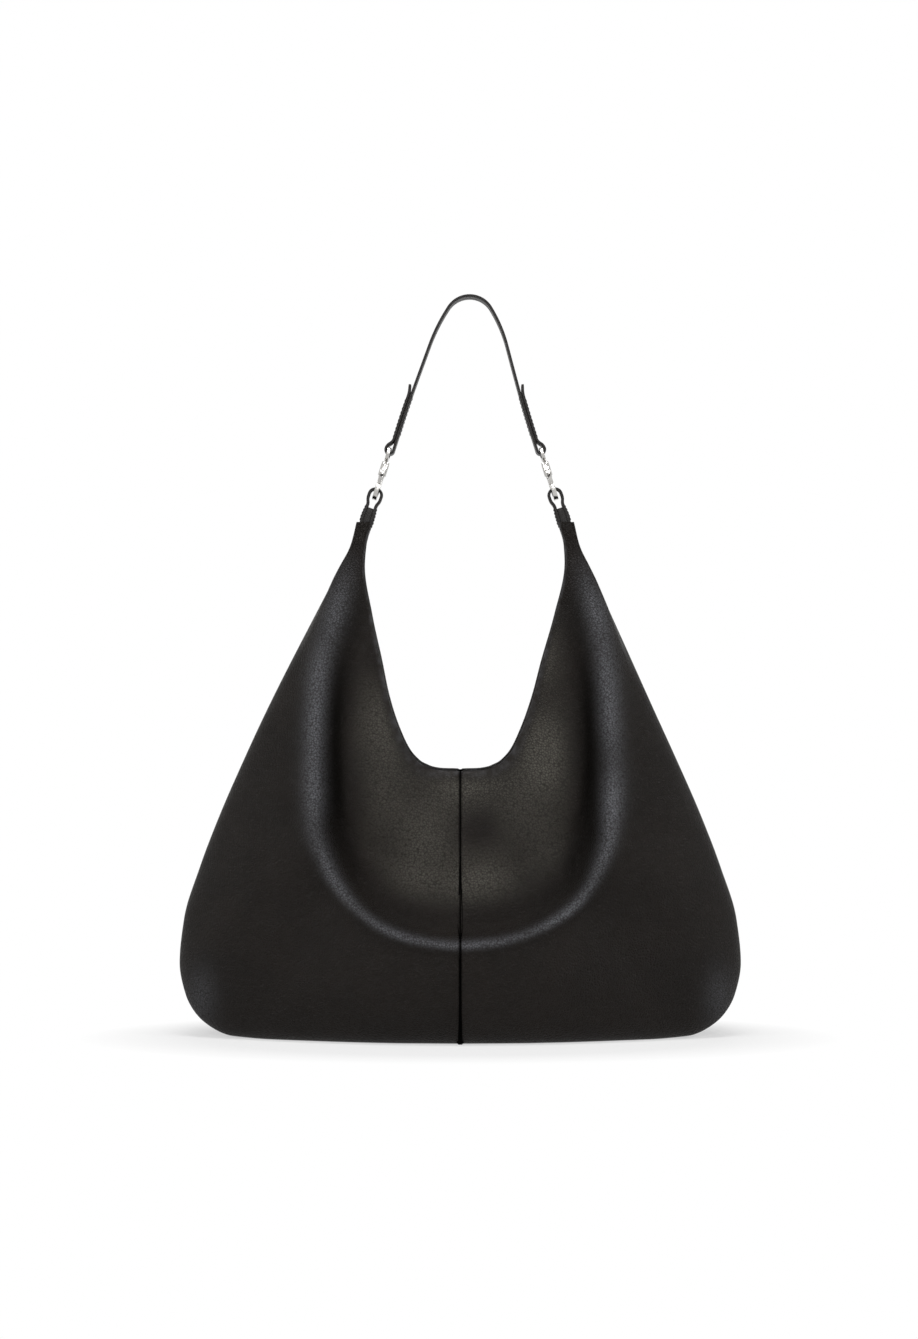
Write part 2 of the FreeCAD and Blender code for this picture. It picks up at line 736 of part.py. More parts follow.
bag_shell()
tabs()
clasps()
strap()
snap()
zip_pocket()
doc.recompute()

SUB_PARTS = [o for o in doc.Objects if o.TypeId in ("Part::Feature", "PartDesign::Body")]
failed = [o.Label for o in doc.Objects if {"Invalid", "Error"} & set(o.State)]
bad = [o.Label for o in SUB_PARTS if o.Shape.isNull() or not o.Shape.isValid()]
if failed or bad:
    raise RuntimeError(f"failed: {failed}, not valid: {bad}")
os.makedirs("parts", exist_ok=True)
for sub_part in SUB_PARTS:
    sub_part.Shape.exportStep(f"parts/{sub_part.Label}.step")
    box = sub_part.Shape.BoundBox
    print(f"{sub_part.Label}: {len(sub_part.Shape.Solids)} solid(s), {sub_part.Shape.Volume:.1f} mm3, "
          f"x {box.XMin:.1f}..{box.XMax:.1f}, y {box.YMin:.1f}..{box.YMax:.1f}, "
          f"z {box.ZMin:.1f}..{box.ZMax:.1f}")
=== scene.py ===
import math
import bmesh
import bpy
import numpy as np
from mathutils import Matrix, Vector


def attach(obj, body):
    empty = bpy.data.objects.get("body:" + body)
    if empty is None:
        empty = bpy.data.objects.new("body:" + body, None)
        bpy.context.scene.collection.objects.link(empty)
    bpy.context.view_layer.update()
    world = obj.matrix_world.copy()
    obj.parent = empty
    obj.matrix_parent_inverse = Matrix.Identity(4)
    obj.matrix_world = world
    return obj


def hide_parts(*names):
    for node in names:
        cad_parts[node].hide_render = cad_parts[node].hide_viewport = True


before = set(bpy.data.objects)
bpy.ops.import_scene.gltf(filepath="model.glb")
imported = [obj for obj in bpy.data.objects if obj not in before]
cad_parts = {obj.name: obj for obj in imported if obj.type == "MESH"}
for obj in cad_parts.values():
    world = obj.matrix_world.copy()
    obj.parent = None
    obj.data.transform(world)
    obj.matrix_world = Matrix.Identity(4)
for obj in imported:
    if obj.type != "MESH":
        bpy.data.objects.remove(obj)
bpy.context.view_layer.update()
print("frame loaded")

# Leather, cloth and thread are worked out in millimetres and turned into metres when a mesh is made;
# the metal parts and the studio are in metres.

# meshes from grids and paths

def makeObject(name, verts, faces, uvs=None, fields=None):
    mesh = bpy.data.meshes.new(name)
    mesh.from_pydata((np.asarray(verts) * 0.001).tolist(), [], faces)
    mesh.update()
    mesh.polygons.foreach_set("use_smooth", np.ones(len(mesh.polygons), bool))
    if uvs is not None:
        layer = mesh.uv_layers.new(name="flat")
        corner = np.empty(len(mesh.loops), int)
        mesh.loops.foreach_get("vertex_index", corner)
        layer.data.foreach_set("uv", np.asarray(uvs, float)[corner].ravel())
    for key, values in (fields or {}).items():
        field = mesh.attributes.new(key, "FLOAT", "POINT")
        field.data.foreach_set("value", np.asarray(values, float).ravel())
    obj = bpy.data.objects.new(name, mesh)
    bpy.context.scene.collection.objects.link(obj)
    return obj


def gridFaces(rows, cols, loopCols=False, loopRows=False):
    # quads between neighbouring rows and columns of a grid numbered row by row
    index = np.arange(rows * cols).reshape(rows, cols)
    if loopCols:
        index = np.concatenate([index, index[:, :1]], axis=1)
    if loopRows:
        index = np.concatenate([index, index[:1]], axis=0)
    a, b = index[:-1, :-1], index[1:, :-1]
    c, d = index[1:, 1:], index[:-1, 1:]
    return np.stack([a, b, c, d], axis=-1).reshape(-1, 4)


def gridNormals(points):
    # cross product of the steps down the columns and along the rows, made one long
    across = np.gradient(points, axis=0)
    along = np.gradient(points, axis=1)
    normal = np.cross(across, along)
    return normal / np.maximum(np.linalg.norm(normal, axis=-1, keepdims=True), 1e-9)


def gridObject(name, points, uvs=None, fields=None, keep=None, flip=False):
    rows, cols = points.shape[:2]
    faces = gridFaces(rows, cols)
    if keep is not None:
        faces = faces[keep[faces].all(axis=1)]
    if flip:
        faces = faces[:, ::-1]
    flatUvs = None if uvs is None else uvs.reshape(-1, 2)
    flatFields = {k: v.ravel() for k, v in (fields or {}).items()}
    return makeObject(name, points.reshape(-1, 3), faces.tolist(), flatUvs, flatFields)


def runAlong(line):
    # way covered at each point of a path: the running sum of its steps' lengths
    return np.concatenate([[0.0], np.cumsum(np.linalg.norm(np.diff(line, axis=0), axis=1))])


def sheetUvs(points, column):
    # flat coordinates in metres: the way along one column, and the way across each row
    steps = np.linalg.norm(np.diff(points, axis=1), axis=2)
    across = np.concatenate([np.zeros((len(points), 1)), np.cumsum(steps, axis=1)], axis=1)
    return np.stack([runAlong(points[:, column])[:, None] + 0 * across, across], -1) * 0.001


def giveThickness(obj, thick):
    # the wall grows inwards from the modelled skin
    wall = obj.modifiers.new("thickness", "SOLIDIFY")
    wall.thickness = thick * 0.001
    wall.offset = -1.0
    return obj


def turnedPath(start, heading, steps, gap=0.4):
    # steps are (length, turn in degrees); the heading changes evenly along each step,
    # and the path is the running sum of the headings' cosines and sines
    lengths = np.array([s[0] for s in steps])
    turns = np.array([s[1] for s in steps])
    ends = np.concatenate([[0.0], np.cumsum(lengths)])
    angles = heading + np.concatenate([[0.0], np.cumsum(turns)])
    count = int(ends[-1] / gap) + 1
    at = np.linspace(0.0, ends[-1], count)
    angle = np.radians(np.interp(at, ends, angles))
    middle = 0.5 * (angle[1:] + angle[:-1])
    step = np.diff(at)
    x = start[0] + np.concatenate([[0.0], np.cumsum(np.cos(middle) * step)])
    z = start[1] + np.concatenate([[0.0], np.cumsum(np.sin(middle) * step)])
    return np.stack([x, z], axis=1), angle, at


def bandProfile(width, thick, corner=0.6, crown=0.0, across=9, round=4):
    # rounded rectangle, counted anticlockwise: u over the width, v over the thickness
    half, tall = 0.5 * width - corner, 0.5 * thick - corner
    points = []
    for number, (sx, sy) in enumerate(((1, 1), (-1, 1), (-1, -1), (1, -1))):
        angle = np.radians(90.0 * number + np.linspace(0.0, 90.0, round + 1))
        u, v = sx * half + corner * np.cos(angle), sy * tall + corner * np.sin(angle)
        points.append(np.stack([u, v], 1))
        if number in (0, 2):
            u = np.linspace(sx * half, -sx * half, across + 2)[1:-1]
            v = sy * (0.5 * thick + crown * (1.0 - (u / half) ** 2))
            points.append(np.stack([u, v], 1))
    return np.concatenate(points)


def bandObject(name, path, angle, profile, place, closed=False, ends=0.5):
    # the profile's u runs along Y, its v along the path's left side; both tips shrink by ends
    count, size = len(path), len(profile)
    side = np.stack([-np.sin(angle), np.cos(angle)], 1)
    scale = np.ones(count)
    if not closed:
        tip = np.minimum(np.arange(count), np.arange(count)[::-1])
        scale = 1.0 - 0.12 * np.exp(-tip / max(ends, 1e-3))
    u = profile[None, :, 0] * scale[:, None]
    v = profile[None, :, 1] * scale[:, None]
    x = path[:, None, 0] + side[:, None, 0] * v
    z = path[:, None, 1] + side[:, None, 1] * v
    points = place(np.stack([x, u, z], axis=-1))
    faces = gridFaces(count, size, True, closed)
    run, girth = runAlong(path)[:, None], runAlong(profile)[None, :]
    uvs = np.stack(np.broadcast_arrays(run, girth), -1).reshape(-1, 2) * 0.001
    edge = np.abs(profile[:, 0]) / np.abs(profile[:, 0]).max()
    edge = np.broadcast_to(np.clip((edge - 0.93) / 0.07, 0, 1)[None, :], (count, size))
    faceList = faces.tolist()
    if not closed:
        faceList += [list(range(size))[::-1], [(count - 1) * size + k for k in range(size)]]
    obj = makeObject(name, points.reshape(-1, 3), faceList, uvs, {"edge": edge})
    fixNormals(obj)
    return obj


def fixNormals(obj):
    work = bmesh.new()
    work.from_mesh(obj.data)
    bmesh.ops.recalc_face_normals(work, faces=work.faces)
    work.to_mesh(obj.data)
    work.free()


def stitchObject(name, spots, ways, ups, look):
    # each stitch is a low arch of thread: a tube whose middle line rises as the sine of its length
    rings, sides = 7, 6
    t = np.linspace(0.0, 1.0, rings)
    around = np.linspace(0.0, 2.0 * np.pi, sides, endpoint=False)
    thin = look["radius"] * (0.55 + 0.45 * np.sin(np.pi * t))
    cross = np.cross(ways, ups)
    along = (t - 0.5) * look["length"]
    rise = look["rise"] * np.sin(np.pi * t) - 0.25 * look["radius"]
    line = spots[:, None] + ways[:, None] * along[None, :, None] + ups[:, None] * rise[None, :, None]
    ring = (cross[:, None, None] * np.cos(around)[None, None, :, None]
            + ups[:, None, None] * np.sin(around)[None, None, :, None])
    points = line[:, :, None] + ring * thin[None, :, None, None]
    one = gridFaces(rings, sides, True)
    faces = (one[None] + (np.arange(len(spots)) * rings * sides)[:, None, None]).reshape(-1, 4)
    obj = makeObject(name, points.reshape(-1, 3), faces.tolist())
    fixNormals(obj)
    return obj


def smoothStep(x, low, high):
    t = np.clip((x - low) / (high - low), 0.0, 1.0)
    return t * t * (3.0 - 2.0 * t)


def softNoise(x, z, scale, seed, waves=9):
    # sum of sine waves of mixed headings, about -1 to 1
    rng = np.random.default_rng(seed)
    total = np.zeros_like(x)
    for heading, stretch, phase in rng.uniform((0, 0.6, 0), (np.pi, 1.7, 2 * np.pi), (waves, 3)):
        across = x * np.cos(heading) + z * np.sin(heading)
        total += np.sin(across * stretch * 2 * np.pi / scale + phase)
    return total / math.sqrt(waves)


# the shell's surface, shared by the leather, the facings and the linings

shell = {
    "stations": (   # seam x, z, rim x, z, then half-depths: foot, two handles of the belly, rim
        (0.0, 0.0, 0.0, 214.0, 38.0, 76.0, 66.0, 27.0),
        (44.0, 0.0, 7.5, 214.0, 36.2, 74.0, 65.3, 27.0),
        (80.0, 0.0, 12.7, 214.1, 31.3, 69.4, 63.8, 27.0),
        (105.0, 0.0, 16.0, 214.3, 26.0, 64.0, 62.0, 27.0),
        (150.0, 0.0, 23.0, 215.5, 14.0, 52.0, 58.0, 27.0),
        (182.0, 1.5, 28.0, 217.5, 5.0, 40.0, 56.0, 27.0),
        (206.0, 13.0, 32.0, 219.5, 2.6, 34.0, 56.0, 27.0),
        (220.0, 34.0, 36.0, 223.0, 2.6, 31.0, 56.0, 27.0),
        (225.0, 60.0, 40.0, 227.5, 2.6, 30.0, 55.0, 27.0),
        (221.5, 95.0, 44.0, 234.0, 2.6, 28.0, 51.0, 27.0),
        (209.0, 136.0, 49.0, 245.0, 2.6, 26.0, 45.0, 26.5),
        (193.0, 178.0, 54.0, 258.0, 2.6, 25.0, 40.0, 26.0),
        (172.0, 226.0, 59.5, 276.0, 2.6, 23.0, 34.0, 24.5),
        (146.0, 282.0, 65.5, 302.0, 2.8, 21.0, 28.0, 22.0),
        (118.0, 340.0, 75.0, 341.0, 3.2, 17.0, 20.0, 17.0),
        (99.0, 379.0, 81.5, 379.0, 4.8, 13.0, 13.0, 11.0),
        (91.5, 395.0, 80.5, 395.0, 6.6, 9.5, 9.5, 8.6),
        (87.0, 413.0, 75.5, 413.0, 7.0, 8.2, 8.2, 7.6)),
    "nearHandle": 0.06, "farHandle": 0.62,
    "leanFrom": 240.0, "neckTop": 413.0, "lean": 4.0,
    "columns": 230, "rows": 104, "footRows": 16,
    "leather": 1.3, "rimRoll": 1.5, "hem": 9.0,
    "grooveDeep": 1.5, "grooveWide": 1.1, "pinchDeep": 0.5, "pinchWide": 5.0,
    "pleats": 3.0, "pleatTall": 0.35, "pleatFrom": 350.0, "pleatFull": 400.0,
}
relief = {   # the fold that hangs from both necks round the sagging middle of the front
    "ridge": (   # from the left neck down, across and up to the right neck
        (-84, 400), (-87, 383), (-99, 330), (-110, 285), (-113, 230), (-112, 175), (-102.5, 139),
        (-87, 114.5), (-60, 93), (-30, 83.5), (-2, 80.5), (25, 82.5), (49, 88), (73, 98.5),
        (94, 115), (108, 140), (115.5, 167), (117, 215), (115, 271), (108, 330), (98, 375), (92, 400)),
    "crest": 7.5, "crestLow": 3.4, "wide": 14.0, "narrow": 6.5,
    "hollow": 13.0, "hollowLow": 9.5, "backSag": 0.7, "linerSag": 0.7,
    "lowFrom": 84.0, "lowTo": 170.0, "neckFrom": 300.0, "neckTo": 380.0, "rimFade": 75.0,
}
paintedLight = {   # where light and shade are painted on the leather, in mm from the fold's line and in height
    "lowFrom": 84.0, "lowTo": 205.0, "neckFrom": 330.0, "neckTo": 400.0,
    "crestShift": 2.5, "crestWide": 9.5, "crestNarrow": 3.3,
    "recessAt": 14.0, "recessWide": 8.0, "hollowLightFrom": 20.0, "hollowLightTo": 52.0,
    "cornerX": 207.0, "cornerZ": 34.0, "cornerWide": 13.0, "cornerTall": 24.0, "cornerShare": 0.4,
}


def steadyCurve(at, values, wanted):
    # piecewise cubic through the rows whose slopes never overshoot between two rows
    step = np.diff(at)[:, None]
    rise = np.diff(values, axis=0) / step
    slope = np.zeros_like(values)
    left, right = rise[:-1], rise[1:]
    both = left * right > 0
    weightA, weightB = 2 * step[1:] + step[:-1], step[1:] + 2 * step[:-1]
    with np.errstate(divide="ignore", invalid="ignore"):
        mean = (weightA + weightB) / (weightA / left + weightB / right)
    slope[1:-1] = np.where(both, mean, 0.0)
    slope[0], slope[-1] = rise[0] * 0.0, rise[-1]
    cell = np.clip(np.searchsorted(at, wanted) - 1, 0, len(at) - 2)
    h = step[cell]
    t = ((wanted - at[cell])[:, None]) / h
    return ((2 * t ** 3 - 3 * t ** 2 + 1) * values[cell] + (t ** 3 - 2 * t ** 2 + t) * h * slope[cell]
            + (-2 * t ** 3 + 3 * t ** 2) * values[cell + 1] + (t ** 3 - t ** 2) * h * slope[cell + 1])


def stationRows(count):
    table = np.array(shell["stations"])
    middle = 0.5 * (table[:, 0:2] + table[:, 2:4])
    travel = np.linalg.norm(np.diff(table[:, 0:2], axis=0), axis=1)
    travel = 0.5 * travel + 0.5 * np.linalg.norm(np.diff(middle, axis=0), axis=1)
    at = np.concatenate([[0.0], np.cumsum(travel)])
    seam = np.array([0.0, 0.35, 0.75, 1.2, 1.7, 2.3, 3.0, 3.9, 5.0])
    return steadyCurve(at, table, np.concatenate([seam, np.linspace(6.5, at[-1], count - len(seam))]))


def leanAt(z):
    # the necks lean to the right, by a smooth step of the height
    return shell["lean"] * smoothStep(z, shell["leanFrom"], shell["neckTop"])


def skinGrid(rows, tau, side, hand, inset, foot=0, slack=0.0):
    # section curve: a cubic Bezier from the seam to the rim, its half-depth over the way across
    seam, rim = rows[:, 0:2], rows[:, 2:4]
    length = np.linalg.norm(rim - seam, axis=1)[:, None]
    slack = slack * (1.0 - smoothStep(rows[:, 0:1], 110.0, 200.0))
    poles = [(inset + 0 * length, np.maximum(rows[:, 4:5] - inset, 0.3)),
             (shell["nearHandle"] * length + inset, rows[:, 5:6] - inset - slack),
             (shell["farHandle"] * length, rows[:, 6:7] - inset - slack),
             (length, rows[:, 7:8] - inset)]
    t = tau if tau.ndim == 2 else tau[None, :]
    weights = ((1 - t) ** 3, 3 * t * (1 - t) ** 2, 3 * t * t * (1 - t), t ** 3)
    along = sum(w * p[0] for w, p in zip(weights, poles))
    depth = sum(w * p[1] for w, p in zip(weights, poles))
    if foot:
        share = np.linspace(0.0, 1.0, foot, endpoint=False)[None, :]
        depth = np.concatenate([0.1 + share * (depth[:, :1] - 0.1), depth], axis=1)
        along = np.concatenate([np.broadcast_to(along[:, :1], (len(rows), foot)), along], axis=1)
    share = along / length
    x = seam[:, 0:1] + (rim[:, 0:1] - seam[:, 0:1]) * share
    z = seam[:, 1:2] + (rim[:, 1:2] - seam[:, 1:2]) * share
    return np.stack([hand * x + leanAt(z), side * depth, z], axis=-1)


def roundRows(points, times):
    # even out each section a little, so that the corner at its foot becomes round
    for _ in range(times):
        points[:, 1:-1] = 0.25 * (points[:, :-2] + points[:, 2:]) + 0.5 * points[:, 1:-1]
    return points


ridgeKnots = np.array(relief["ridge"], float)
ridgeRun = runAlong(ridgeKnots)
ridgeLine = steadyCurve(ridgeRun, ridgeKnots, np.linspace(0, ridgeRun[-1], 260))


def ridgeDistance(x, z):
    # shortest way to the ridge line, positive in the hollow between it and the mouth
    flat = np.stack([x.ravel(), z.ravel()], 1)
    best = np.full(len(flat), 1e9)
    inside = np.zeros(len(flat), bool)
    line = np.concatenate([ridgeLine, [[93, 700], [-84, 700]]])
    for a, b in zip(line, np.roll(line, -1, axis=0)):
        way = b - a
        t = np.clip(((flat - a) @ way) / (way @ way + 1e-9), 0, 1)
        if a[1] < 650 and b[1] < 650:
            best = np.minimum(best, np.linalg.norm(flat - a - t[:, None] * way, axis=1))
        crosses = (a[1] > flat[:, 1]) != (b[1] > flat[:, 1])
        with np.errstate(divide="ignore", invalid="ignore"):
            cut = a[0] + (flat[:, 1] - a[1]) * way[0] / (way[1] if way[1] else 1e-9)
        inside ^= crosses & (flat[:, 0] < cut)
    return np.where(inside, best, -best).reshape(x.shape)


def sinkAt(x, z, fromRim, side):
    # hollow of the leather: eases in behind the ridge, is deepest there and fades out at the rim
    look = relief
    away = ridgeDistance(x, z)
    low = 1.0 - smoothStep(z, look["lowFrom"], look["lowTo"])
    sink = look["hollow"] * (1 - low) + look["hollowLow"] * low
    sink *= smoothStep(away, -3.0, 17.0) * (1.0 - 0.6 * smoothStep(away, 22.0, 100.0))
    sink *= np.clip(fromRim / look["rimFade"], 0.0, 1.0) ** 2
    sink *= 1.0 - 0.6 * smoothStep(z, look["neckFrom"], look["neckTo"])
    return sink * (1.0 if side < 0 else look["backSag"])


def reliefAt(x, z, fromRim, share, side):
    # crest: a bell across the ridge, narrower low down, less the hollow, plus soft creases
    look = relief
    away = ridgeDistance(x, z)
    low = 1.0 - smoothStep(z, look["lowFrom"], look["lowTo"])
    crest = look["crest"] * (1 - low) + look["crestLow"] * low
    crest *= 1.0 - 0.75 * smoothStep(z, 310.0, 400.0)
    wide = np.where(away > 0, 0.6, 1.0) * (look["wide"] * (1 - low) + look["narrow"] * low)
    lift = crest * np.exp(-(away / wide) ** 2) * smoothStep(fromRim, 4.0, 24.0)
    creases = 0.6 * softNoise(x, z, 95.0, 5 + side) * smoothStep(share, 0.08, 0.3)
    creases += 0.3 * softNoise(x, z * 0.6, 34.0, 11 + side) * smoothStep(share, 0.3, 0.6)
    creases *= smoothStep(fromRim, 2.0, 30.0)
    lift *= 1.0 if side < 0 else look["backSag"]
    return lift - sinkAt(x, z, fromRim, side) + creases


def fromRimOf(points, rows):
    # straight way from each point of a quarter to its section's rim
    rim = np.stack([rows[:, 2], rows[:, 3]], -1)[:, None]
    flat = np.stack([np.abs(points[..., 0] - leanAt(points[..., 2])), points[..., 2]], -1)
    return np.linalg.norm(flat - rim, axis=-1)


def paintedLightFields(points, share, groove):
    # bells of the distance to the fold's line: a painted highlight on its crest, painted shade on the
    # strip behind it, and a smooth step further in for painted light in the hollow's middle; the lower
    # corners get a painted highlight too
    mark = paintedLight
    x, z = points[..., 0], points[..., 2]
    away = ridgeDistance(x, z)
    low = 1.0 - smoothStep(z, mark["lowFrom"], mark["lowTo"])
    fade = smoothStep(share, 0.1, 0.3) * (1.0 - smoothStep(z, mark["neckFrom"], mark["neckTo"]))
    wide = mark["crestWide"] * (1 - low) + mark["crestNarrow"] * low
    crest = np.exp(-((away + mark["crestShift"] * (1 - low)) / wide) ** 2) * fade
    crest *= 0.85 + 0.2 * softNoise(x, z, 60.0, 3)
    sideways = (np.abs(x) - mark["cornerX"]) / mark["cornerWide"]
    upwards = (z - mark["cornerZ"]) / mark["cornerTall"]
    crest = np.maximum(crest, mark["cornerShare"] * np.exp(-sideways ** 2 - upwards ** 2))
    # painted shade on the strip just behind the crest, weaker low down and towards the necks
    recessShade = np.exp(-((away - mark["recessAt"]) / mark["recessWide"]) ** 2) * fade * (1.0 - 0.85 * low)
    recessShade *= 1.0 - 0.6 * smoothStep(z, 250.0, 340.0)
    # painted light in the middle of the hollow, which faces up
    worn = smoothStep(away, mark["hollowLightFrom"], mark["hollowLightTo"]) * fade * (1 - smoothStep(share, 0.95, 1.0))
    worn *= 0.62 + 0.38 * softNoise(x, z * 0.7, 75.0, 8)
    return {"rub": crest, "recessShade": recessShade, "worn": np.clip(worn, 0.0, 1.0), "groove": groove}


def leatherPanel(name, side, hand):
    # one quarter of the shell: the smooth skin, moved along its normals by the relief
    rows = stationRows(shell["columns"])
    rows[:, 0] = np.where(rows[:, 0] < 0.25, 0.25, rows[:, 0])
    tau = np.linspace(0.0, 1.0, shell["rows"])
    foot = shell["footRows"]
    points = skinGrid(rows, tau, side, hand, 0.0, foot)
    points = roundRows(points, 7)
    share = np.concatenate([np.zeros(foot), tau])[None, :] + np.zeros((len(rows), 1))
    normal = gridNormals(points) * (-hand * side)
    shift = reliefAt(points[..., 0], points[..., 2], fromRimOf(points, rows), share, side)
    shift *= smoothStep(share, 0.03, 0.22)
    # the middle seam pulls in: a narrow groove at the bottom of a wider, shallow pinch
    middle = np.abs(points[..., 0] - leanAt(points[..., 2]))
    start = smoothStep(share, 0.0, 0.04)
    groove = np.exp(-(middle / shell["grooveWide"]) ** 2) * start
    pinch = np.exp(-(middle / shell["pinchWide"]) ** 2) * start
    shift -= shell["grooveDeep"] * groove + shell["pinchDeep"] * pinch
    necks = smoothStep(points[..., 2], shell["pleatFrom"], shell["pleatFull"])
    pleat = np.sin(share * 2 * np.pi * shell["pleats"] + 0.7 * hand + side) * shell["pleatTall"] * necks
    shift += pleat * smoothStep(share, 0.1, 0.3) * (1 - smoothStep(share, 0.8, 1.0))
    points = points + normal * shift[..., None]
    points[..., 2] = np.maximum(points[..., 2], 0.0)
    points[..., 1] = side * np.maximum(side * points[..., 1], 0.08)
    # the rim is turned in over a small roll, with a hem behind it
    radius = shell["rimRoll"]
    out = gridNormals(points)[:, -1] * (-hand * side)
    along = points[:, -1] - points[:, -3]
    along /= np.linalg.norm(along, axis=1, keepdims=True)
    phi = np.radians(np.linspace(30.0, 180.0, 6))[None, :, None]
    around = np.sin(phi) * along[:, None] - (1 - np.cos(phi)) * out[:, None]
    roll = points[:, -1:] + radius * around
    drop = np.linspace(0.25, 1.0, 4)[None, :, None] * shell["hem"]
    hem = roll[:, -1:] - drop * along[:, None]
    points = np.concatenate([points, roll, hem], axis=1)
    points[..., 1] = side * np.maximum(side * points[..., 1], 0.08)
    behind = np.ones((len(rows), points.shape[1] - share.shape[1]))
    edge = np.concatenate([np.exp(-((1 - share) * 60) ** 2), behind], axis=1)
    share = np.concatenate([share, behind], axis=1)
    groove = np.concatenate([groove, groove[:, -1:] * behind], axis=1)
    fields = {"edge": edge, **paintedLightFields(points, share, groove)}
    obj = gridObject(name, points, sheetUvs(points, 40), fields, flip=(hand * side > 0))
    return giveThickness(obj, shell["leather"])


def solveTau(rows, inset, reach):
    # Bezier parameter at which each section has gone the wanted way from the seam, by halving
    low, high = np.zeros(len(rows)), np.ones(len(rows))
    length = np.linalg.norm(rows[:, 2:4] - rows[:, 0:2], axis=1)
    near, far = shell["nearHandle"] * length + inset, shell["farHandle"] * length
    for _ in range(30):
        t = 0.5 * (low + high)
        way = (1 - t) ** 3 * inset + 3 * t * (1 - t) ** 2 * near
        way += 3 * t * t * (1 - t) * far + t ** 3 * length
        short = way < reach(length)
        low, high = np.where(short, t, low), np.where(short, high, t)
    return 0.5 * (low + high)


def innerSheet(name, side, look, low, high, keepOut=None):
    # both quarters of an inner layer in one sheet; low and high give the band it covers
    top, inset, cols, foot = look["top"], look["inset"], look["cols"], look["foot"]
    rows = stationRows(shell["columns"])
    rows = rows[rows[:, 1] <= top]
    first = solveTau(rows, inset, low) if low else np.zeros(len(rows))
    last = solveTau(rows, inset, high)
    tau = first[:, None] + (last - first)[:, None] * np.linspace(0, 1, cols)[None, :]
    half = []
    for hand in (-1, 1):
        quarter = skinGrid(rows, tau, side, hand, inset, foot, look["slack"])
        sink = sinkAt(quarter[..., 0], quarter[..., 2], fromRimOf(quarter, rows), side)
        quarter[..., 1] -= side * look["sag"] * sink
        half.append(quarter)
    points = np.concatenate([half[0][::-1], half[1][1:]])
    if look["behindZip"] and side > 0:
        points[..., 1] = np.minimum(points[..., 1], zipFront(points[..., 2]) + look["behindZip"])
    points = roundRows(points, 4) if foot else points
    normal = gridNormals(points) * (-side)
    share = np.concatenate([np.zeros(foot), np.linspace(0, 1, cols)])[None, :]
    x, z = points[..., 0], points[..., 2]
    ease = smoothStep(share, 0.0, 0.2) * (1 - smoothStep(share, 0.8, 1.0))
    ease = ease * (1 - smoothStep(z, 0.8 * top, top))
    shift = look["wrinkle"] * softNoise(x, z * 0.5, look["fold"], look["seed"] + side) * ease
    points = points + normal * shift[..., None]
    points[..., 1] = side * np.maximum(side * points[..., 1], 0.1)
    keep = None if keepOut is None else ~keepOut(points.reshape(-1, 3))
    obj = gridObject(name, points, sheetUvs(points, 2), keep=keep, flip=(side > 0))
    return giveThickness(obj, look["thick"])


# places of the hardware

hang = {"half": 70.5, "height": 439.5, "lean": 4.0, "claspTilt": 17.5, "tabTilt": 19.0, "eyeBar": 33.0}


def turnedPlace(hand, tilt):
    # turn about Y towards the middle by the tilt, then move to the point the clasp hangs from
    a = math.radians(-hand * tilt)

    def place(points):
        x, y, z = points[..., 0], points[..., 1], points[..., 2]
        return np.stack([x * math.cos(a) + z * math.sin(a) + hand * hang["half"] + hang["lean"], y,
                         -x * math.sin(a) + z * math.cos(a) + hang["height"]], axis=-1)
    return place


def arc(radius, turn):
    return (radius * math.radians(abs(turn)), turn)


# strap

strap = {"width": 18.0, "thick": 2.0, "fold": 3.1, "top": 594.0, "crown": 20.0, "legTurn": 15.0,
         "curl": 7.0, "tail": 35.0, "tipRadius": 24.0, "tipTurn": 14.0, "tipRun": 4.0, "apexLean": 3.5}
strapStitch = {"length": 2.5, "radius": 0.28, "rise": 0.16, "pitch": 3.3, "inFromEdge": 2.3}


def strapHalf():
    # from the crown down one side: two arcs and a straight leg that end in line with the clasp,
    # then half a turn round the eye's bar and back up along the leg
    tilt, fold, crown = hang["claspTilt"], strap["fold"], strap["crown"]
    lean = math.radians(tilt)
    upper = math.radians(tilt + strap["legTurn"])
    startX = hang["half"] - hang["eyeBar"] * math.sin(lean) - fold * math.cos(lean)
    startZ = hang["height"] + hang["eyeBar"] * math.cos(lean) - fold * math.sin(lean)
    across = startX - crown * math.cos(upper)
    up = strap["top"] - startZ - crown * (1.0 - math.sin(upper))
    bendX, bendZ = math.cos(lean) - math.cos(upper), math.sin(upper) - math.sin(lean)
    shoulder = (across * math.cos(lean) - up * math.sin(lean)) / (
        bendX * math.cos(lean) - bendZ * math.sin(lean))
    leg = (across - bendX * shoulder) / math.sin(lean)
    closing = 2.0 * fold - strap["thick"] - 0.3
    swerve = math.degrees(math.acos(1.0 - 0.5 * closing / strap["curl"]))
    steps = [arc(crown, -(90.0 - tilt - strap["legTurn"])), arc(shoulder, -strap["legTurn"]),
             (leg, 0.0), arc(fold, 180.0), arc(strap["curl"], swerve), arc(strap["curl"], -swerve),
             (strap["tail"], 0.0), arc(strap["tipRadius"], -strap["tipTurn"]), (strap["tipRun"], 0.0)]
    return turnedPath((0.0, strap["top"]), 0.0, steps, 0.5), steps


def leanStrap(points):
    # sideways by the bag's lean, and a little more towards the crown
    points = points.copy()
    points[..., 0] += hang["lean"] + strap["apexLean"] * smoothStep(points[..., 2], 490.0, 594.0)
    return points


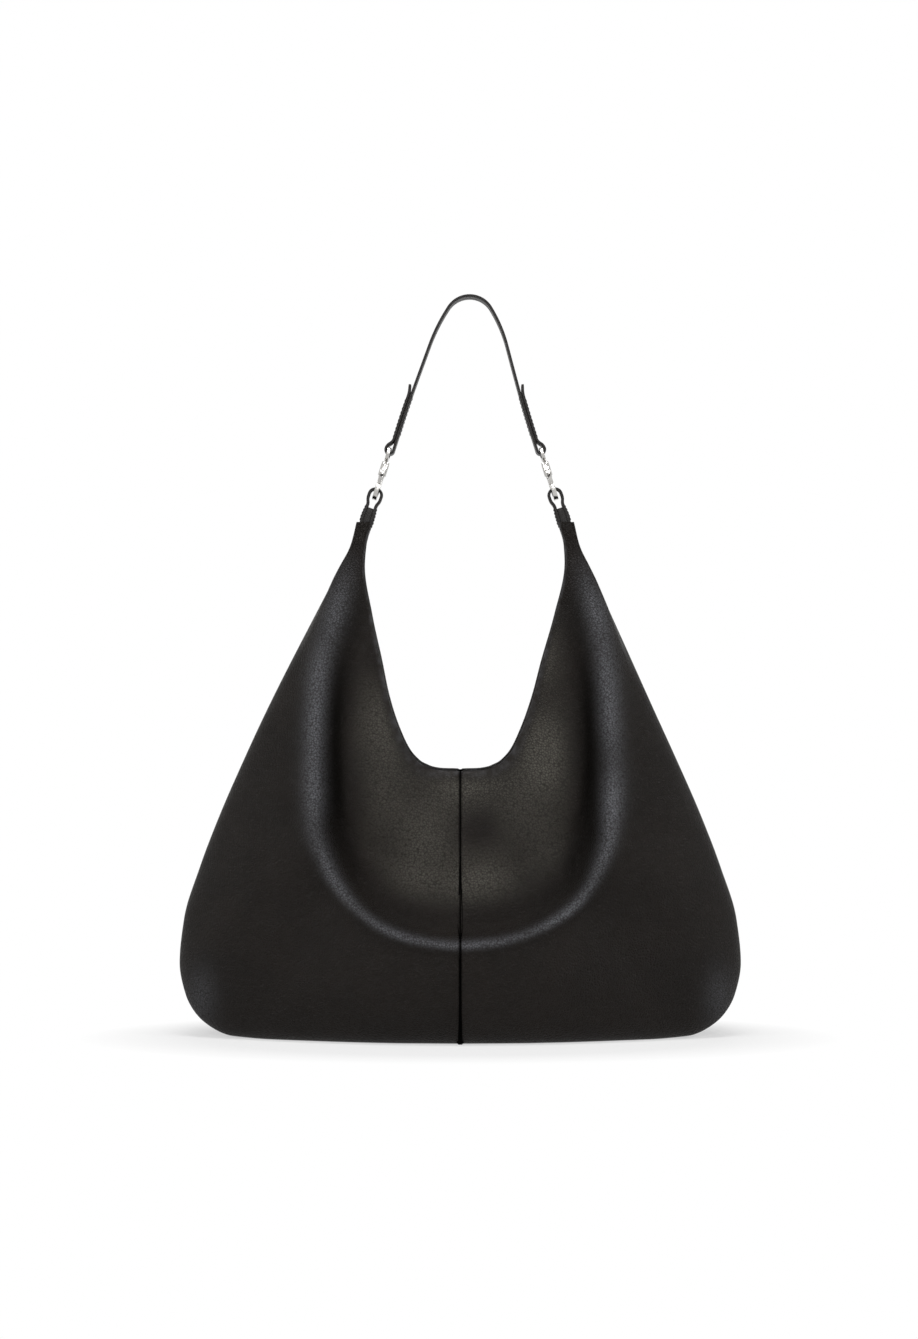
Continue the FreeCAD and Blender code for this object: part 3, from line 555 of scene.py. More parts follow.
def makeStrap():
    (path, angle, at), steps = strapHalf()
    left = path[::-1] * [-1, 1]
    full = np.concatenate([left[:-1], path])
    angles = np.concatenate([-angle[::-1][:-1], angle])
    profile = bandProfile(strap["width"], strap["thick"], 0.6, 0.12)
    piece = bandObject("strapLeather", full, angles, profile, leanStrap, ends=1.5)
    runs = np.cumsum([s[0] for s in steps])
    fold, back = runs[2], runs[3]
    spans = ((runs[5] + 1.5, runs[6] - 1.0),
             (fold - (runs[6] - back) + 1.0, fold - (runs[5] - back) - 1.5))
    spots, ways, ups = [], [], []
    for hand in (-1, 1):
        for low, high in spans:
            s = np.arange(low, high, strapStitch["pitch"])
            x, z = np.interp(s, at, path[:, 0]), np.interp(s, at, path[:, 1])
            a = np.interp(s, at, angle)
            out = np.stack([np.sin(a), 0 * a, -np.cos(a)], 1)
            way = np.stack([np.cos(a), 0 * a, np.sin(a)], 1)
            for u in (-1, 1):
                y = u * (0.5 * strap["width"] - strapStitch["inFromEdge"]) + 0 * s
                spot = np.stack([x, y, z], 1) + out * (0.5 * strap["thick"] + 0.08)
                flipX = np.array([hand, 1, 1])
                spots.append(leanStrap(spot * flipX))
                ways.append(way * flipX)
                ups.append(out * flipX)
    thread = stitchObject("strapStitches", np.concatenate(spots), np.concatenate(ways),
                          np.concatenate(ups), strapStitch)
    return piece, thread


# tabs

tab = {"width": 9.6, "thick": 2.2, "core": 4.2, "eye": 7.8, "length": 42.0, "bend": 5.0, "eyeDrop": 15.0,
       "spread": 0.26, "swellRadius": 9.0, "kinkRadius": 30.0, "upper": 9.0}
tabStitch = {"length": 2.0, "radius": 0.25, "rise": 0.14, "pitch": 2.7, "inFromEdge": 1.5}


def makeTab(hand, way):
    # a strip folded over a filler: an arc round the eye, a swerve inwards, then down to the neck
    halfEye, halfCore = 0.5 * (tab["eye"] + tab["thick"]), 0.5 * (tab["core"] + tab["thick"])
    turn = math.degrees(math.acos(1.0 - 0.5 * (halfEye - halfCore) / tab["swellRadius"]))
    rise = 2.0 * tab["swellRadius"] * math.sin(math.radians(turn))
    eyeSide = [arc(halfEye, 90.0), (tab["eyeDrop"] - halfEye - rise, 0.0),
               arc(tab["swellRadius"], turn), arc(tab["swellRadius"], -turn)]
    lower = tab["length"] - tab["eyeDrop"] - tab["upper"] - tab["kinkRadius"] * math.radians(tab["bend"])

    def strand(sign):
        kinked = arc(tab["kinkRadius"] - sign * halfCore, -sign * tab["bend"])
        return [(tab["upper"], 0.0), kinked, (lower, 0.0)]

    settle = turnedPlace(hand, hang["tabTilt"])

    def place(points):
        # the strands spread a little on their way down to the neck
        points = points.copy()
        drop = -points[..., 2]
        spread = smoothStep(drop, 10.0, 24.0) * (1 - smoothStep(drop, 27.0, 33.0))
        points[..., 0] *= 1.0 + tab["spread"] * spread
        return settle(points)

    nearPath, nearAngle, at = turnedPath((0.0, 0.0), 180.0, eyeSide + strand(hand), 0.35)
    farPath, farAngle, _ = turnedPath((0.0, 0.0), 180.0, eyeSide + strand(-hand), 0.35)
    path = np.concatenate([(farPath * [-1, 1])[::-1][:-1], nearPath])
    angle = np.concatenate([(-farAngle)[::-1][:-1], nearAngle])
    piece = bandObject(f"{way}TabLeather", path, angle,
                       bandProfile(tab["width"], tab["thick"], 0.65, 0.1), place, ends=1.2)
    kink = arc(tab["kinkRadius"], -hand * tab["bend"])
    middle = [(tab["upper"] - 1.0, 0.0), kink, (lower - 1.0, 0.0)]
    fillPath, fillAngle, _ = turnedPath((0.0, -tab["eyeDrop"] - 1.0), 270.0, middle, 0.8)
    filler = bandObject(f"{way}TabCore", fillPath, fillAngle,
                        bandProfile(tab["width"] - 0.6, tab["core"] - 0.1, 0.4), place, ends=0.6)
    spots, ways, ups = [], [], []
    s = np.arange(sum(e[0] for e in eyeSide) + 1.2, at[-1] - 9.0, tabStitch["pitch"])
    for line, turned, mirror in ((nearPath, nearAngle, 1), (farPath, farAngle, -1)):
        along = runAlong(line)
        x, z, a = (np.interp(s, along, v) for v in (line[:, 0], line[:, 1], turned))
        out = np.stack([np.sin(a), 0 * a, -np.cos(a)], 1)
        run = np.stack([np.cos(a), 0 * a, np.sin(a)], 1)
        flat = np.array([mirror, 1, 1])
        for u in (-1, 1):
            y = u * (0.5 * tab["width"] - tabStitch["inFromEdge"]) + 0 * s
            spot = (np.stack([x, y, z], 1) + out * (0.5 * tab["thick"] + 0.07)) * flat
            base = settle(np.zeros(3))
            spots.append(place(spot))
            ways.append(settle(run * flat) - base)
            ups.append(settle(out * flat) - base)
    thread = stitchObject(f"{way}TabStitches", np.concatenate(spots), np.concatenate(ways),
                          np.concatenate(ups), tabStitch)
    return piece, filler, thread


# zip of the inner pocket

zipper = {"depth": 29.4, "height": 140.0, "tilt": 8.8, "upright": 190.0, "half": 62.0, "tall": 11.0,
          "window": 6.0, "tapeWidth": 8.4, "tapeMiddle": 5.8, "tapeThick": 0.5, "weltThick": 1.2}
zipStitch = {"length": 2.2, "radius": 0.24, "rise": 0.13, "pitch": 3.0}


def zipPlace(x, y, z):
    # along the zip, behind it, and up it, tilted with the lining
    a = math.radians(zipper["tilt"])
    return np.stack([x, zipper["depth"] + y * math.cos(a) - z * math.sin(a),
                     zipper["height"] + y * math.sin(a) + z * math.cos(a)], axis=-1)


def zipFront(z):
    # depth of the zip's plane, on which the back lining lies flat; upright above the mouth's edge
    rise = np.minimum(z, zipper["upright"]) - zipper["height"]
    return zipper["depth"] - rise * math.tan(math.radians(zipper["tilt"]))


def inZipWindow(points):
    # the way up the tilted zip is the point's offset from its middle, turned back by the tilt
    a = math.radians(zipper["tilt"])
    y, z = points[..., 1] - zipper["depth"], points[..., 2] - zipper["height"]
    up = -y * math.sin(a) + z * math.cos(a)
    return (np.abs(points[..., 0]) < zipper["half"] - 6.0) & (np.abs(up) < zipper["window"] - 0.5)


def makeZipCloth():
    pieces = []
    for sign, word in ((1, "Upper"), (-1, "Lower")):
        path = np.stack([np.linspace(-zipper["half"] + 2, zipper["half"] - 2, 160), np.zeros(160)], 1)

        def place(points, sign=sign):
            up = points[..., 1] + sign * zipper["tapeMiddle"]
            return zipPlace(points[..., 0], 1.0 + points[..., 2], up)

        profile = bandProfile(zipper["tapeWidth"], zipper["tapeThick"], 0.2)
        pieces.append(bandObject(f"zipTape{word}", path, np.zeros(160), profile, place, ends=0.2))
    width = zipper["tall"] - zipper["window"] + 0.6
    x, z = zipper["half"] - 0.5 * width, zipper["tall"] - 0.5 * width
    steps = [(2 * (x - 3), 0.0), arc(3, 90), (2 * (z - 3), 0.0), arc(3, 90)] * 2
    path, angle, at = turnedPath((-x + 3, -z), 0.0, steps, 0.6)
    profile = bandProfile(zipper["weltThick"], width, 0.45, 0.15)

    def place(points):
        return zipPlace(points[..., 0], points[..., 1], points[..., 2])

    pieces.append(bandObject("zipWelt", path[:-1], angle[:-1], profile, place, closed=True))
    s = np.arange(0.0, at[-1] - 2.0, zipStitch["pitch"])
    px, pz, a = (np.interp(s, at, v) for v in (path[:, 0], path[:, 1], angle))
    base = zipPlace(np.zeros(1), np.zeros(1), np.zeros(1))
    spots = zipPlace(px, -0.5 * zipper["weltThick"] - 0.05 + 0 * s, pz)
    ways = zipPlace(np.cos(a), 0 * s, np.sin(a)) - base
    ups = zipPlace(0 * s, -1 + 0 * s, 0 * s) - base
    pieces.append(stitchObject("zipStitches", spots, ways, ups, zipStitch))
    return pieces


# materials

def link(tree, source, target):
    tree.links.new(source, target)


def addNode(tree, kind, **values):
    node = tree.nodes.new(kind)
    for key, value in values.items():
        if hasattr(node, key):
            setattr(node, key, value)
        else:
            node.inputs[key.replace("_", " ")].default_value = value
    return node


def newGroup(name, inputs, outputs):
    group = bpy.data.node_groups.new(name, "ShaderNodeTree")
    for title, kind, value in inputs:
        socket = group.interface.new_socket(name=title, in_out="INPUT", socket_type=kind)
        if value is not None:
            socket.default_value = value
    for title, kind in outputs:
        group.interface.new_socket(name=title, in_out="OUTPUT", socket_type=kind)
    return group, group.nodes.new("NodeGroupInput"), group.nodes.new("NodeGroupOutput")


def math2(tree, kind, a, b=0.5, clamp=False):
    node = tree.nodes.new("ShaderNodeMath")
    node.operation = kind
    node.use_clamp = clamp
    for socket, value in zip(node.inputs, (a, b)):
        if isinstance(value, (int, float)):
            socket.default_value = value
        else:
            link(tree, value, socket)
    return node.outputs[0]


def times(tree, a, b):
    return math2(tree, "MULTIPLY", a, b)


def plus(tree, a, b):
    return math2(tree, "ADD", a, b)


def noiseOn(tree, vector, **values):
    node = addNode(tree, "ShaderNodeTexNoise", **values)
    link(tree, vector, node.inputs["Vector"])
    return node


def rangeOf(tree, value, low, high, toLow=0.0, toHigh=1.0):
    node = addNode(tree, "ShaderNodeMapRange", From_Min=low, From_Max=high, To_Min=toLow, To_Max=toHigh)
    link(tree, value, node.inputs["Value"])
    return node.outputs["Result"]


def blendColour(tree, factor, a, b):
    node = tree.nodes.new("ShaderNodeMix")
    node.data_type = "RGBA"
    for index, value in ((0, factor), (6, a), (7, b)):
        if isinstance(value, (int, float)):
            node.inputs[index].default_value = value
        elif isinstance(value, tuple):
            node.inputs[index].default_value = (*value, 1.0)
        else:
            link(tree, value, node.inputs[index])
    return node.outputs[2]


def pebbleGroup():
    # rounded pebbles of two sizes, parted by fine creases, with a few longer folds of the skin
    group, given, out = newGroup(
        "pebbledHide",
        [("Vector", "NodeSocketVector", None), ("Pebbles", "NodeSocketFloat", 900.0)],
        [("Height", "NodeSocketFloat"), ("Tone", "NodeSocketFloat"), ("Gloss", "NodeSocketFloat")])
    vector, pebbles = given.outputs["Vector"], given.outputs["Pebbles"]
    warp = noiseOn(group, vector, Scale=170.0, Detail=2.0)
    bend = addNode(group, "ShaderNodeVectorMath", operation="MULTIPLY_ADD")
    link(group, warp.outputs["Color"], bend.inputs[0])
    bend.inputs[1].default_value = (0.0016,) * 3
    link(group, vector, bend.inputs[2])
    cells = addNode(group, "ShaderNodeTexVoronoi", feature="SMOOTH_F1", Smoothness=0.35)
    edges = addNode(group, "ShaderNodeTexVoronoi", feature="DISTANCE_TO_EDGE")
    big = addNode(group, "ShaderNodeTexVoronoi", feature="DISTANCE_TO_EDGE")
    for node, scale in ((cells, pebbles), (edges, pebbles), (big, times(group, pebbles, 0.37))):
        link(group, bend.outputs[0], node.inputs["Vector"])
        link(group, scale, node.inputs["Scale"])
    crease = rangeOf(group, edges.outputs["Distance"], 0.0, 0.16)
    wide = rangeOf(group, big.outputs["Distance"], 0.0, 0.10)
    dome = rangeOf(group, cells.outputs["Distance"], 0.0, 0.7, 1.0, 0.0)
    small = plus(group, times(group, crease, 0.6), times(group, dome, 0.4))
    height = times(group, small, plus(group, times(group, wide, 0.4), 0.6))
    pores = noiseOn(group, vector, Scale=2600.0, Detail=3.0).outputs["Fac"]
    height = plus(group, height, times(group, pores, 0.18))
    cloud = noiseOn(group, vector, Scale=22.0, Detail=4.0, Roughness=0.6).outputs["Fac"]
    tone = plus(group, times(group, rangeOf(group, cloud, 0.3, 0.7), 0.6), times(group, crease, 0.4))
    gloss = times(group, crease, rangeOf(group, cloud, 0.3, 0.7, 0.7, 1.0))
    for name, value in (("Height", height), ("Tone", tone), ("Gloss", gloss)):
        link(group, value, out.inputs[name])
    return group


def weaveGroup():
    # two sets of round threads that pass over and under each other in turn
    group, given, out = newGroup(
        "threadWeave",
        [("Vector", "NodeSocketVector", None), ("Threads", "NodeSocketFloat", 1800.0)],
        [("Height", "NodeSocketFloat"), ("Tone", "NodeSocketFloat")])
    scale = addNode(group, "ShaderNodeVectorMath", operation="SCALE")
    link(group, given.outputs["Vector"], scale.inputs[0])
    link(group, given.outputs["Threads"], scale.inputs["Scale"])
    apart = addNode(group, "ShaderNodeSeparateXYZ")
    link(group, scale.outputs[0], apart.inputs[0])
    u, v = apart.outputs["X"], apart.outputs["Y"]
    warpThread, weftThread = (math2(group, "ABSOLUTE", math2(group, "SINE", times(group, way, math.pi)))
                              for way in (u, v))
    turns = plus(group, math2(group, "FLOOR", u), math2(group, "FLOOR", v))
    over = math2(group, "ABSOLUTE", math2(group, "MODULO", turns, 2.0))
    under = math2(group, "SUBTRACT", 1.0, over)
    slub = noiseOn(group, given.outputs["Vector"], Scale=240.0, Detail=3.0).outputs["Fac"]
    threads = plus(group, times(group, over, warpThread), times(group, under, weftThread))
    link(group, plus(group, threads, times(group, slub, 0.3)), out.inputs["Height"])
    link(group, plus(group, times(group, over, 0.35), times(group, slub, 0.65)), out.inputs["Tone"])
    return group


def wearGroup():
    # breaks an edge mask up, so that rubbed places come and go along it
    group, given, out = newGroup(
        "rubbedEdge",
        [("Vector", "NodeSocketVector", None), ("Edge", "NodeSocketFloat", 0.0),
         ("Patches", "NodeSocketFloat", 120.0)],
        [("Mask", "NodeSocketFloat")])
    noise = noiseOn(group, given.outputs["Vector"], Detail=4.0, Roughness=0.65)
    link(group, given.outputs["Patches"], noise.inputs["Scale"])
    patch = rangeOf(group, noise.outputs["Fac"], 0.42, 0.66)
    link(group, math2(group, "MULTIPLY", given.outputs["Edge"], patch, True), out.inputs["Mask"])
    return group


def scratchGroup():
    # fine hairline scratches in two directions and a faint cloud of handling marks
    group, given, out = newGroup(
        "metalMarks",
        [("Vector", "NodeSocketVector", None), ("Lines", "NodeSocketFloat", 900.0)],
        [("Height", "NodeSocketFloat"), ("Smudge", "NodeSocketFloat")])
    hairlines = []
    for turn, stretch in ((0.5, (1.0, 0.06, 1.0)), (-0.9, (0.07, 1.0, 0.5))):
        spin = addNode(group, "ShaderNodeMapping")
        spin.inputs["Rotation"].default_value = (turn, turn * 0.4, turn)
        spin.inputs["Scale"].default_value = stretch
        link(group, given.outputs["Vector"], spin.inputs["Vector"])
        lines = noiseOn(group, spin.outputs[0], Detail=5.0, Roughness=0.7)
        link(group, given.outputs["Lines"], lines.inputs["Scale"])
        hairlines.append(rangeOf(group, lines.outputs["Fac"], 0.56, 0.72))
    cloud = noiseOn(group, given.outputs["Vector"], Scale=160.0, Detail=3.0)
    link(group, math2(group, "MAXIMUM", *hairlines), out.inputs["Height"])
    link(group, rangeOf(group, cloud.outputs["Fac"], 0.35, 0.7), out.inputs["Smudge"])
    return group


def startMaterial(name, **values):
    material = bpy.data.materials.new(name)
    material.use_nodes = True
    tree = material.node_tree
    shader = tree.nodes["Principled BSDF"]
    for key, value in values.items():
        shader.inputs[key.replace("_", " ")].default_value = value
    coords = tree.nodes.new("ShaderNodeTexCoord")
    return material, tree, shader, coords


def useGroup(tree, group, vector, **values):
    node = tree.nodes.new("ShaderNodeGroup")
    node.node_tree = group
    link(tree, vector, node.inputs["Vector"])
    for key, value in values.items():
        if isinstance(value, (int, float)):
            node.inputs[key].default_value = value
        else:
            link(tree, value, node.inputs[key])
    return node


def addBump(tree, shader, height, strength, distance):
    bump = addNode(tree, "ShaderNodeBump", Strength=strength, Distance=distance)
    link(tree, height, bump.inputs["Height"])
    link(tree, bump.outputs["Normal"], shader.inputs["Normal"])


def fieldOf(tree, name):
    return addNode(tree, "ShaderNodeAttribute", attribute_name=name).outputs["Fac"]


def leatherMaterial(name, hide, wear, look):
    material, tree, shader, coords = startMaterial(name)
    skin = useGroup(tree, hide, coords.outputs["Object"], Pebbles=look["pebbles"])
    edge = fieldOf(tree, "edge")
    rims = useGroup(tree, wear, coords.outputs["Object"], Edge=edge, Patches=140.0)
    colour = blendColour(tree, skin.outputs["Tone"], look["dark"], look["light"])
    rough = rangeOf(tree, skin.outputs["Gloss"], 0.0, 1.0, look["rough"] + 0.14, look["rough"])
    shader.inputs["Specular IOR Level"].default_value = look["specular"]
    if "paintedHollowLight" in look:
        # the shell: painted highlight on the fold's crest and lower corners, broken up by the pebbles;
        # painted light in the hollow's middle; painted shade behind the crest and in the seam's groove
        rub, recessShade, groove = (fieldOf(tree, field) for field in ("rub", "recessShade", "groove"))
        speckle = rangeOf(tree, skin.outputs["Height"], 0.15, 0.85, look["speckle"], 1.0)
        # painted highlight on the fold's crest and the lower corners, broken up by the pebbles
        colour = blendColour(tree, times(tree, rub, speckle), colour, look["rubbedAndHighlight"])
        # painted light in the middle of the hollow, broken up by the pebbles
        hollowLit = times(tree, times(tree, fieldOf(tree, "worn"), speckle), look["wear"])
        colour = blendColour(tree, hollowLit, colour, look["paintedHollowLight"])
        # painted shade behind the crest, darkening the colour
        paintedShade = times(tree, recessShade, 0.8)
        colour = blendColour(tree, paintedShade, colour, look["paintedShade"])
        rough = math2(tree, "SUBTRACT", rough, times(tree, rub, 0.05))
        # reflection taken away in the seam's groove and behind the crest: painted shade
        dull = math2(tree, "MAXIMUM", groove, paintedShade)
        shadedSpecular = rangeOf(tree, dull, 0.0, 1.0, look["specular"], 0.0)
        link(tree, shadedSpecular, shader.inputs["Specular IOR Level"])
    # real edge wear along the rims, in the same pale colour as the painted highlight
    colour = blendColour(tree, times(tree, rims.outputs["Mask"], 0.25), colour, look["rubbedAndHighlight"])
    if "paintedHollowLight" in look:
        # painted shade in the seam's groove
        colour = blendColour(tree, groove, colour, look["seam"])
    link(tree, colour, shader.inputs["Base Color"])
    link(tree, rough, shader.inputs["Roughness"])
    smooth = math2(tree, "SUBTRACT", 1.0, edge)
    addBump(tree, shader, times(tree, skin.outputs["Height"], smooth), look["bump"], 0.0006)
    return material


def clothMaterial(name, weave, look):
    material, tree, shader, coords = startMaterial(
        name, Specular_IOR_Level=0.25, Sheen_Weight=look["sheen"], Sheen_Roughness=0.5)
    threads = useGroup(tree, weave, coords.outputs["UV"], Threads=look["threads"])
    tone = threads.outputs["Tone"]
    link(tree, blendColour(tree, tone, look["dark"], look["light"]), shader.inputs["Base Color"])
    link(tree, rangeOf(tree, tone, 0.0, 1.0, 0.92, 0.78), shader.inputs["Roughness"])
    addBump(tree, shader, threads.outputs["Height"], 0.5, look["depth"])
    return material


def threadMaterial(name, look):
    material, tree, shader, coords = startMaterial(name, Specular_IOR_Level=0.3, Roughness=0.6)
    twist = addNode(tree, "ShaderNodeTexWave", Scale=1300.0, Distortion=1.5)
    twist.bands_direction = "DIAGONAL"
    link(tree, coords.outputs["Object"], twist.inputs["Vector"])
    ply = twist.outputs["Fac"]
    link(tree, blendColour(tree, ply, look["dark"], look["light"]), shader.inputs["Base Color"])
    addBump(tree, shader, ply, 0.5, 0.00008)
    return material


def metalMaterial(name, marks, look):
    material, tree, shader, coords = startMaterial(name, Metallic=1.0)
    lines = useGroup(tree, marks, coords.outputs["Object"], Lines=look["lines"])
    smudge = lines.outputs["Smudge"]
    link(tree, blendColour(tree, smudge, look["bright"], look["dull"]), shader.inputs["Base Color"])
    rough = plus(tree, rangeOf(tree, smudge, 0.0, 1.0, look["rough"], look["rough"] + 0.09),
                 times(tree, lines.outputs["Height"], 0.08))
    link(tree, rough, shader.inputs["Roughness"])
    addBump(tree, shader, lines.outputs["Height"], look["bump"], 0.00002)
    return material


hide, weave, wear, marks = pebbleGroup(), weaveGroup(), wearGroup(), scratchGroup()
finishes = {
    "bodyLeather": leatherMaterial("bodyLeather", hide, wear, {
        "pebbles": 540.0, "dark": (0.0026, 0.0018, 0.0012), "light": (0.0064, 0.0045, 0.0033),
        # the warm grey is painted light in the hollow, the bluish grey is edge wear and the painted
        # highlight on the crest and corners, and the two near-blacks are painted shade behind the crest
        # and in the seam's groove
        "paintedHollowLight": (0.062, 0.058, 0.049), "wear": 0.9, "rubbedAndHighlight": (0.082, 0.083, 0.090),
        "paintedShade": (0.0014, 0.0013, 0.0010), "seam": (0.001, 0.001, 0.001), "speckle": 0.2,
        "rough": 0.37, "bump": 1.0, "specular": 0.11}),
    "strapLeather": leatherMaterial("strapLeather", hide, wear, {
        "pebbles": 900.0, "dark": (0.0035, 0.0028, 0.0024), "light": (0.0085, 0.0072, 0.0064),
        "rubbedAndHighlight": (0.020, 0.020, 0.021), "rough": 0.36, "bump": 0.3, "specular": 0.16}),
    "facingLeather": leatherMaterial("facingLeather", hide, wear, {
        "pebbles": 950.0, "dark": (0.006, 0.0054, 0.005), "light": (0.012, 0.0108, 0.010),
        "rubbedAndHighlight": (0.018, 0.018, 0.018), "rough": 0.46, "bump": 0.3, "specular": 0.16}),
    "liningCloth": clothMaterial("liningCloth", weave, {
        "threads": 1500.0, "dark": (0.016, 0.0155, 0.015), "light": (0.040, 0.038, 0.036), "sheen": 0.25,
        "depth": 0.00022}),
    "zipTapeCloth": clothMaterial("zipTapeCloth", weave, {
        "threads": 2300.0, "dark": (0.012, 0.012, 0.012), "light": (0.030, 0.030, 0.031), "sheen": 0.15,
        "depth": 0.00016}),
    "blackThread": threadMaterial("blackThread", {
        "dark": (0.006, 0.006, 0.006), "light": (0.028, 0.028, 0.029)}),
    "polishedNickel": metalMaterial("polishedNickel", marks, {
        "lines": 900.0, "bright": (0.56, 0.55, 0.53), "dull": (0.40, 0.39, 0.375),
        "rough": 0.14, "bump": 0.25}),
    "springSteel": metalMaterial("springSteel", marks, {
        "lines": 1600.0, "bright": (0.56, 0.56, 0.57), "dull": (0.44, 0.44, 0.46),
        "rough": 0.28, "bump": 0.4}),
    "satinNickel": metalMaterial("satinNickel", marks, {
        "lines": 1300.0, "bright": (0.66, 0.65, 0.63), "dull": (0.52, 0.51, 0.49),
        "rough": 0.30, "bump": 0.4}),
}
print("materials made")


def dress(obj, finish, body, slotName, *nodes):
    obj.data.materials.append(finishes[finish])
    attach(obj, body)
    if nodes:
        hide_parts(*nodes)
    return obj


# the bag's leather, facings, linings and pocket

for side, word in ((-1, "front"), (1, "back")):
    for hand, way in ((-1, "left"), (1, "right")):
        panel = leatherPanel(f"{word}{way.capitalize()}Leather", side, hand)
        dress(panel, "bodyLeather", "bag", "leather", f"{word}_panel_{way}")
print("leather panels made")

facing = {"inset": 3.8, "slack": 0.0, "top": 379.5, "cols": 14, "foot": 0, "band": 30.0, "hem": 1.5,
          "wrinkle": 0.2, "fold": 60.0, "seed": 21, "thick": 1.2, "sag": 0.0, "behindZip": 0.0}
lining = {"inset": 6.6, "slack": 6.0, "top": 341.0, "cols": 64, "foot": 12, "under": 4.0,
          "wrinkle": 0.8, "fold": 46.0, "seed": 33, "thick": 0.6, "sag": relief["linerSag"],
          "behindZip": 2.3}
pocketCloth = {"inset": 3.3, "slack": 5.0, "top": 0.5, "cols": 30, "foot": 0, "bottom": 45.0, "over": 8.0,
               "wrinkle": 0.15, "fold": 50.0, "seed": 41, "thick": 0.6, "sag": relief["linerSag"],
               "behindZip": 0.0}


def facingEdge(length):
    # way from the seam to the facing's lower edge, on a section of this length
    return length - np.minimum(facing["band"], 0.55 * length)


for side, word in ((-1, "front"), (1, "back")):
    sheet = innerSheet(f"{word}FacingLeather", side, facing, facingEdge,
                       lambda length: length - facing["hem"])
    dress(sheet, "facingLeather", "bag", "leather", f"{word}_facing")
    sheet = innerSheet(f"{word}LiningCloth", side, lining, None,
                       lambda length: facingEdge(length) + lining["under"],
                       keepOut=inZipWindow if side > 0 else None)
    dress(sheet, "liningCloth", "bag", "lining", f"{word}_lining")
sheet = innerSheet("zipPocketCloth", 1, pocketCloth, lambda length: pocketCloth["bottom"] + 0 * length,
                   lambda length: zipper["height"] + pocketCloth["over"] + 0 * length)
dress(sheet, "liningCloth", "bag", "lining", "zip_pocket_bag")
print("facings and linings made")

strapPiece, strapThread = makeStrap()
dress(strapPiece, "strapLeather", "strap", "leather", "strap")
dress(strapThread, "blackThread", "strap", "leather")
for hand, way in ((-1, "left"), (1, "right")):
    tabPiece, tabFiller, tabThread = makeTab(hand, way)
    dress(tabPiece, "strapLeather", "bag", "leather", f"{way}_tab")
    dress(tabFiller, "strapLeather", "bag", "leather", f"{way}_tab_filler")
    dress(tabThread, "blackThread", "bag", "leather")
print("strap and tabs made")

tapeUpper, tapeLower, welt, weltThread = makeZipCloth()
dress(tapeUpper, "zipTapeCloth", "bag", "zip_tape", "zip_tape_upper")
dress(tapeLower, "zipTapeCloth", "bag", "zip_tape", "zip_tape_lower")
dress(welt, "facingLeather", "bag", "leather", "zip_welt")
dress(weltThread, "blackThread", "bag", "leather")


# metal parts: a merged copy of each with its edges rounded

def roundedCopy(node, width, segments=3):
    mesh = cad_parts[node].data.copy()
    mesh.materials.clear()
    work = bmesh.new()
    work.from_mesh(mesh)
    bmesh.ops.remove_doubles(work, verts=work.verts, dist=2e-6)
    bmesh.ops.dissolve_limit(work, angle_limit=math.radians(2.0), verts=work.verts, edges=work.edges)
    work.to_mesh(mesh)
    work.free()
    words = node.split("_")
    obj = bpy.data.objects.new(words[0] + "".join(w.capitalize() for w in words[1:]) + "Metal", mesh)
    bpy.context.scene.collection.objects.link(obj)
    mesh.polygons.foreach_set("use_smooth", np.ones(len(mesh.polygons), bool))
    bevel = obj.modifiers.new("edges", "BEVEL")
    bevel.width = width
    bevel.segments = segments
    bevel.limit_method = "ANGLE"
    bevel.angle_limit = math.radians(32.0)
    bevel.harden_normals = True
    return obj


metalEdges = {"hook": 0.0006, "swivel_eye": 0.0006, "gate": 0.0004, "small": 0.00018}
for way in ("left", "right"):
    for part, body in (("hook", f"{way}_hook"), ("gate", f"{way}_gate"), ("swivel_eye", "strap")):
        piece = roundedCopy(f"{way}_{part}", metalEdges[part])
        dress(piece, "polishedNickel", body, "hardware", f"{way}_{part}")
for node in ("zip_slider", "zip_pull"):
    dress(roundedCopy(node, metalEdges["small"], 2), "satinNickel", node, "zip_metal", node)
for node in ("snap_stud", "snap_socket"):
    dress(roundedCopy(node, metalEdges["small"], 2), "satinNickel", "bag", "snap_metal", node)
keptNodes = {   # parts that stay as the frame has them, with a finish of their own
    "springSteel": ("left_gate_pin", "right_gate_pin", "left_gate_spring", "right_gate_spring"),
    "satinNickel": ("snap_washer_front", "snap_washer_back", "zip_teeth_upper", "zip_teeth_lower")}
for finish, nodes in keptNodes.items():
    for node in nodes:
        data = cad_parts[node].data
        data.materials.clear()
        data.materials.append(finishes[finish])
print("metal parts dressed")

# floor, light and camera

studio = {
    "floorColour": (0.9, 0.9, 0.9), "floorDark": (0.85, 0.85, 0.85), "floorHalf": 6000.0,
    "shadowReach": (0.75, 1.1), "shadowSize": (3.6, 8.0, 1.0), "shadowAmount": 0.5,
    "worldColour": (0.1, 0.1, 0.102),
    "lamps": (   # name, place, what it points at, width and height, watts
        ("leftSoftbox", (-1.65, -0.95, 0.6), (0, 0, 0.22), (0.4, 1.1), 20.0),
        ("rightSoftbox", (1.65, -0.95, 0.6), (0, 0, 0.22), (0.4, 1.1), 20.0),
        ("topSoftbox", (0, -0.8, 1.8), (0, 0, 0.2), (0.7, 0.4), 12.0),
        ("frontSoftbox", (0.0, -2.2, 1.0), (0, 0, 0.2), (0.7, 0.9), 17.0)),
    "lens": 67.0, "filmHeight": 36.0, "cameraPlace": (-0.001, -2.0, 0.295),
}


def directRays(tree):
    # 1 where the camera sees the surroundings, directly or in metal
    seen = tree.nodes.new("ShaderNodeLightPath")
    mirrored = math2(tree, "MAXIMUM", seen.outputs["Is Glossy Ray"], seen.outputs["Is Transmission Ray"])
    return math2(tree, "MAXIMUM", seen.outputs["Is Camera Ray"], mirrored)


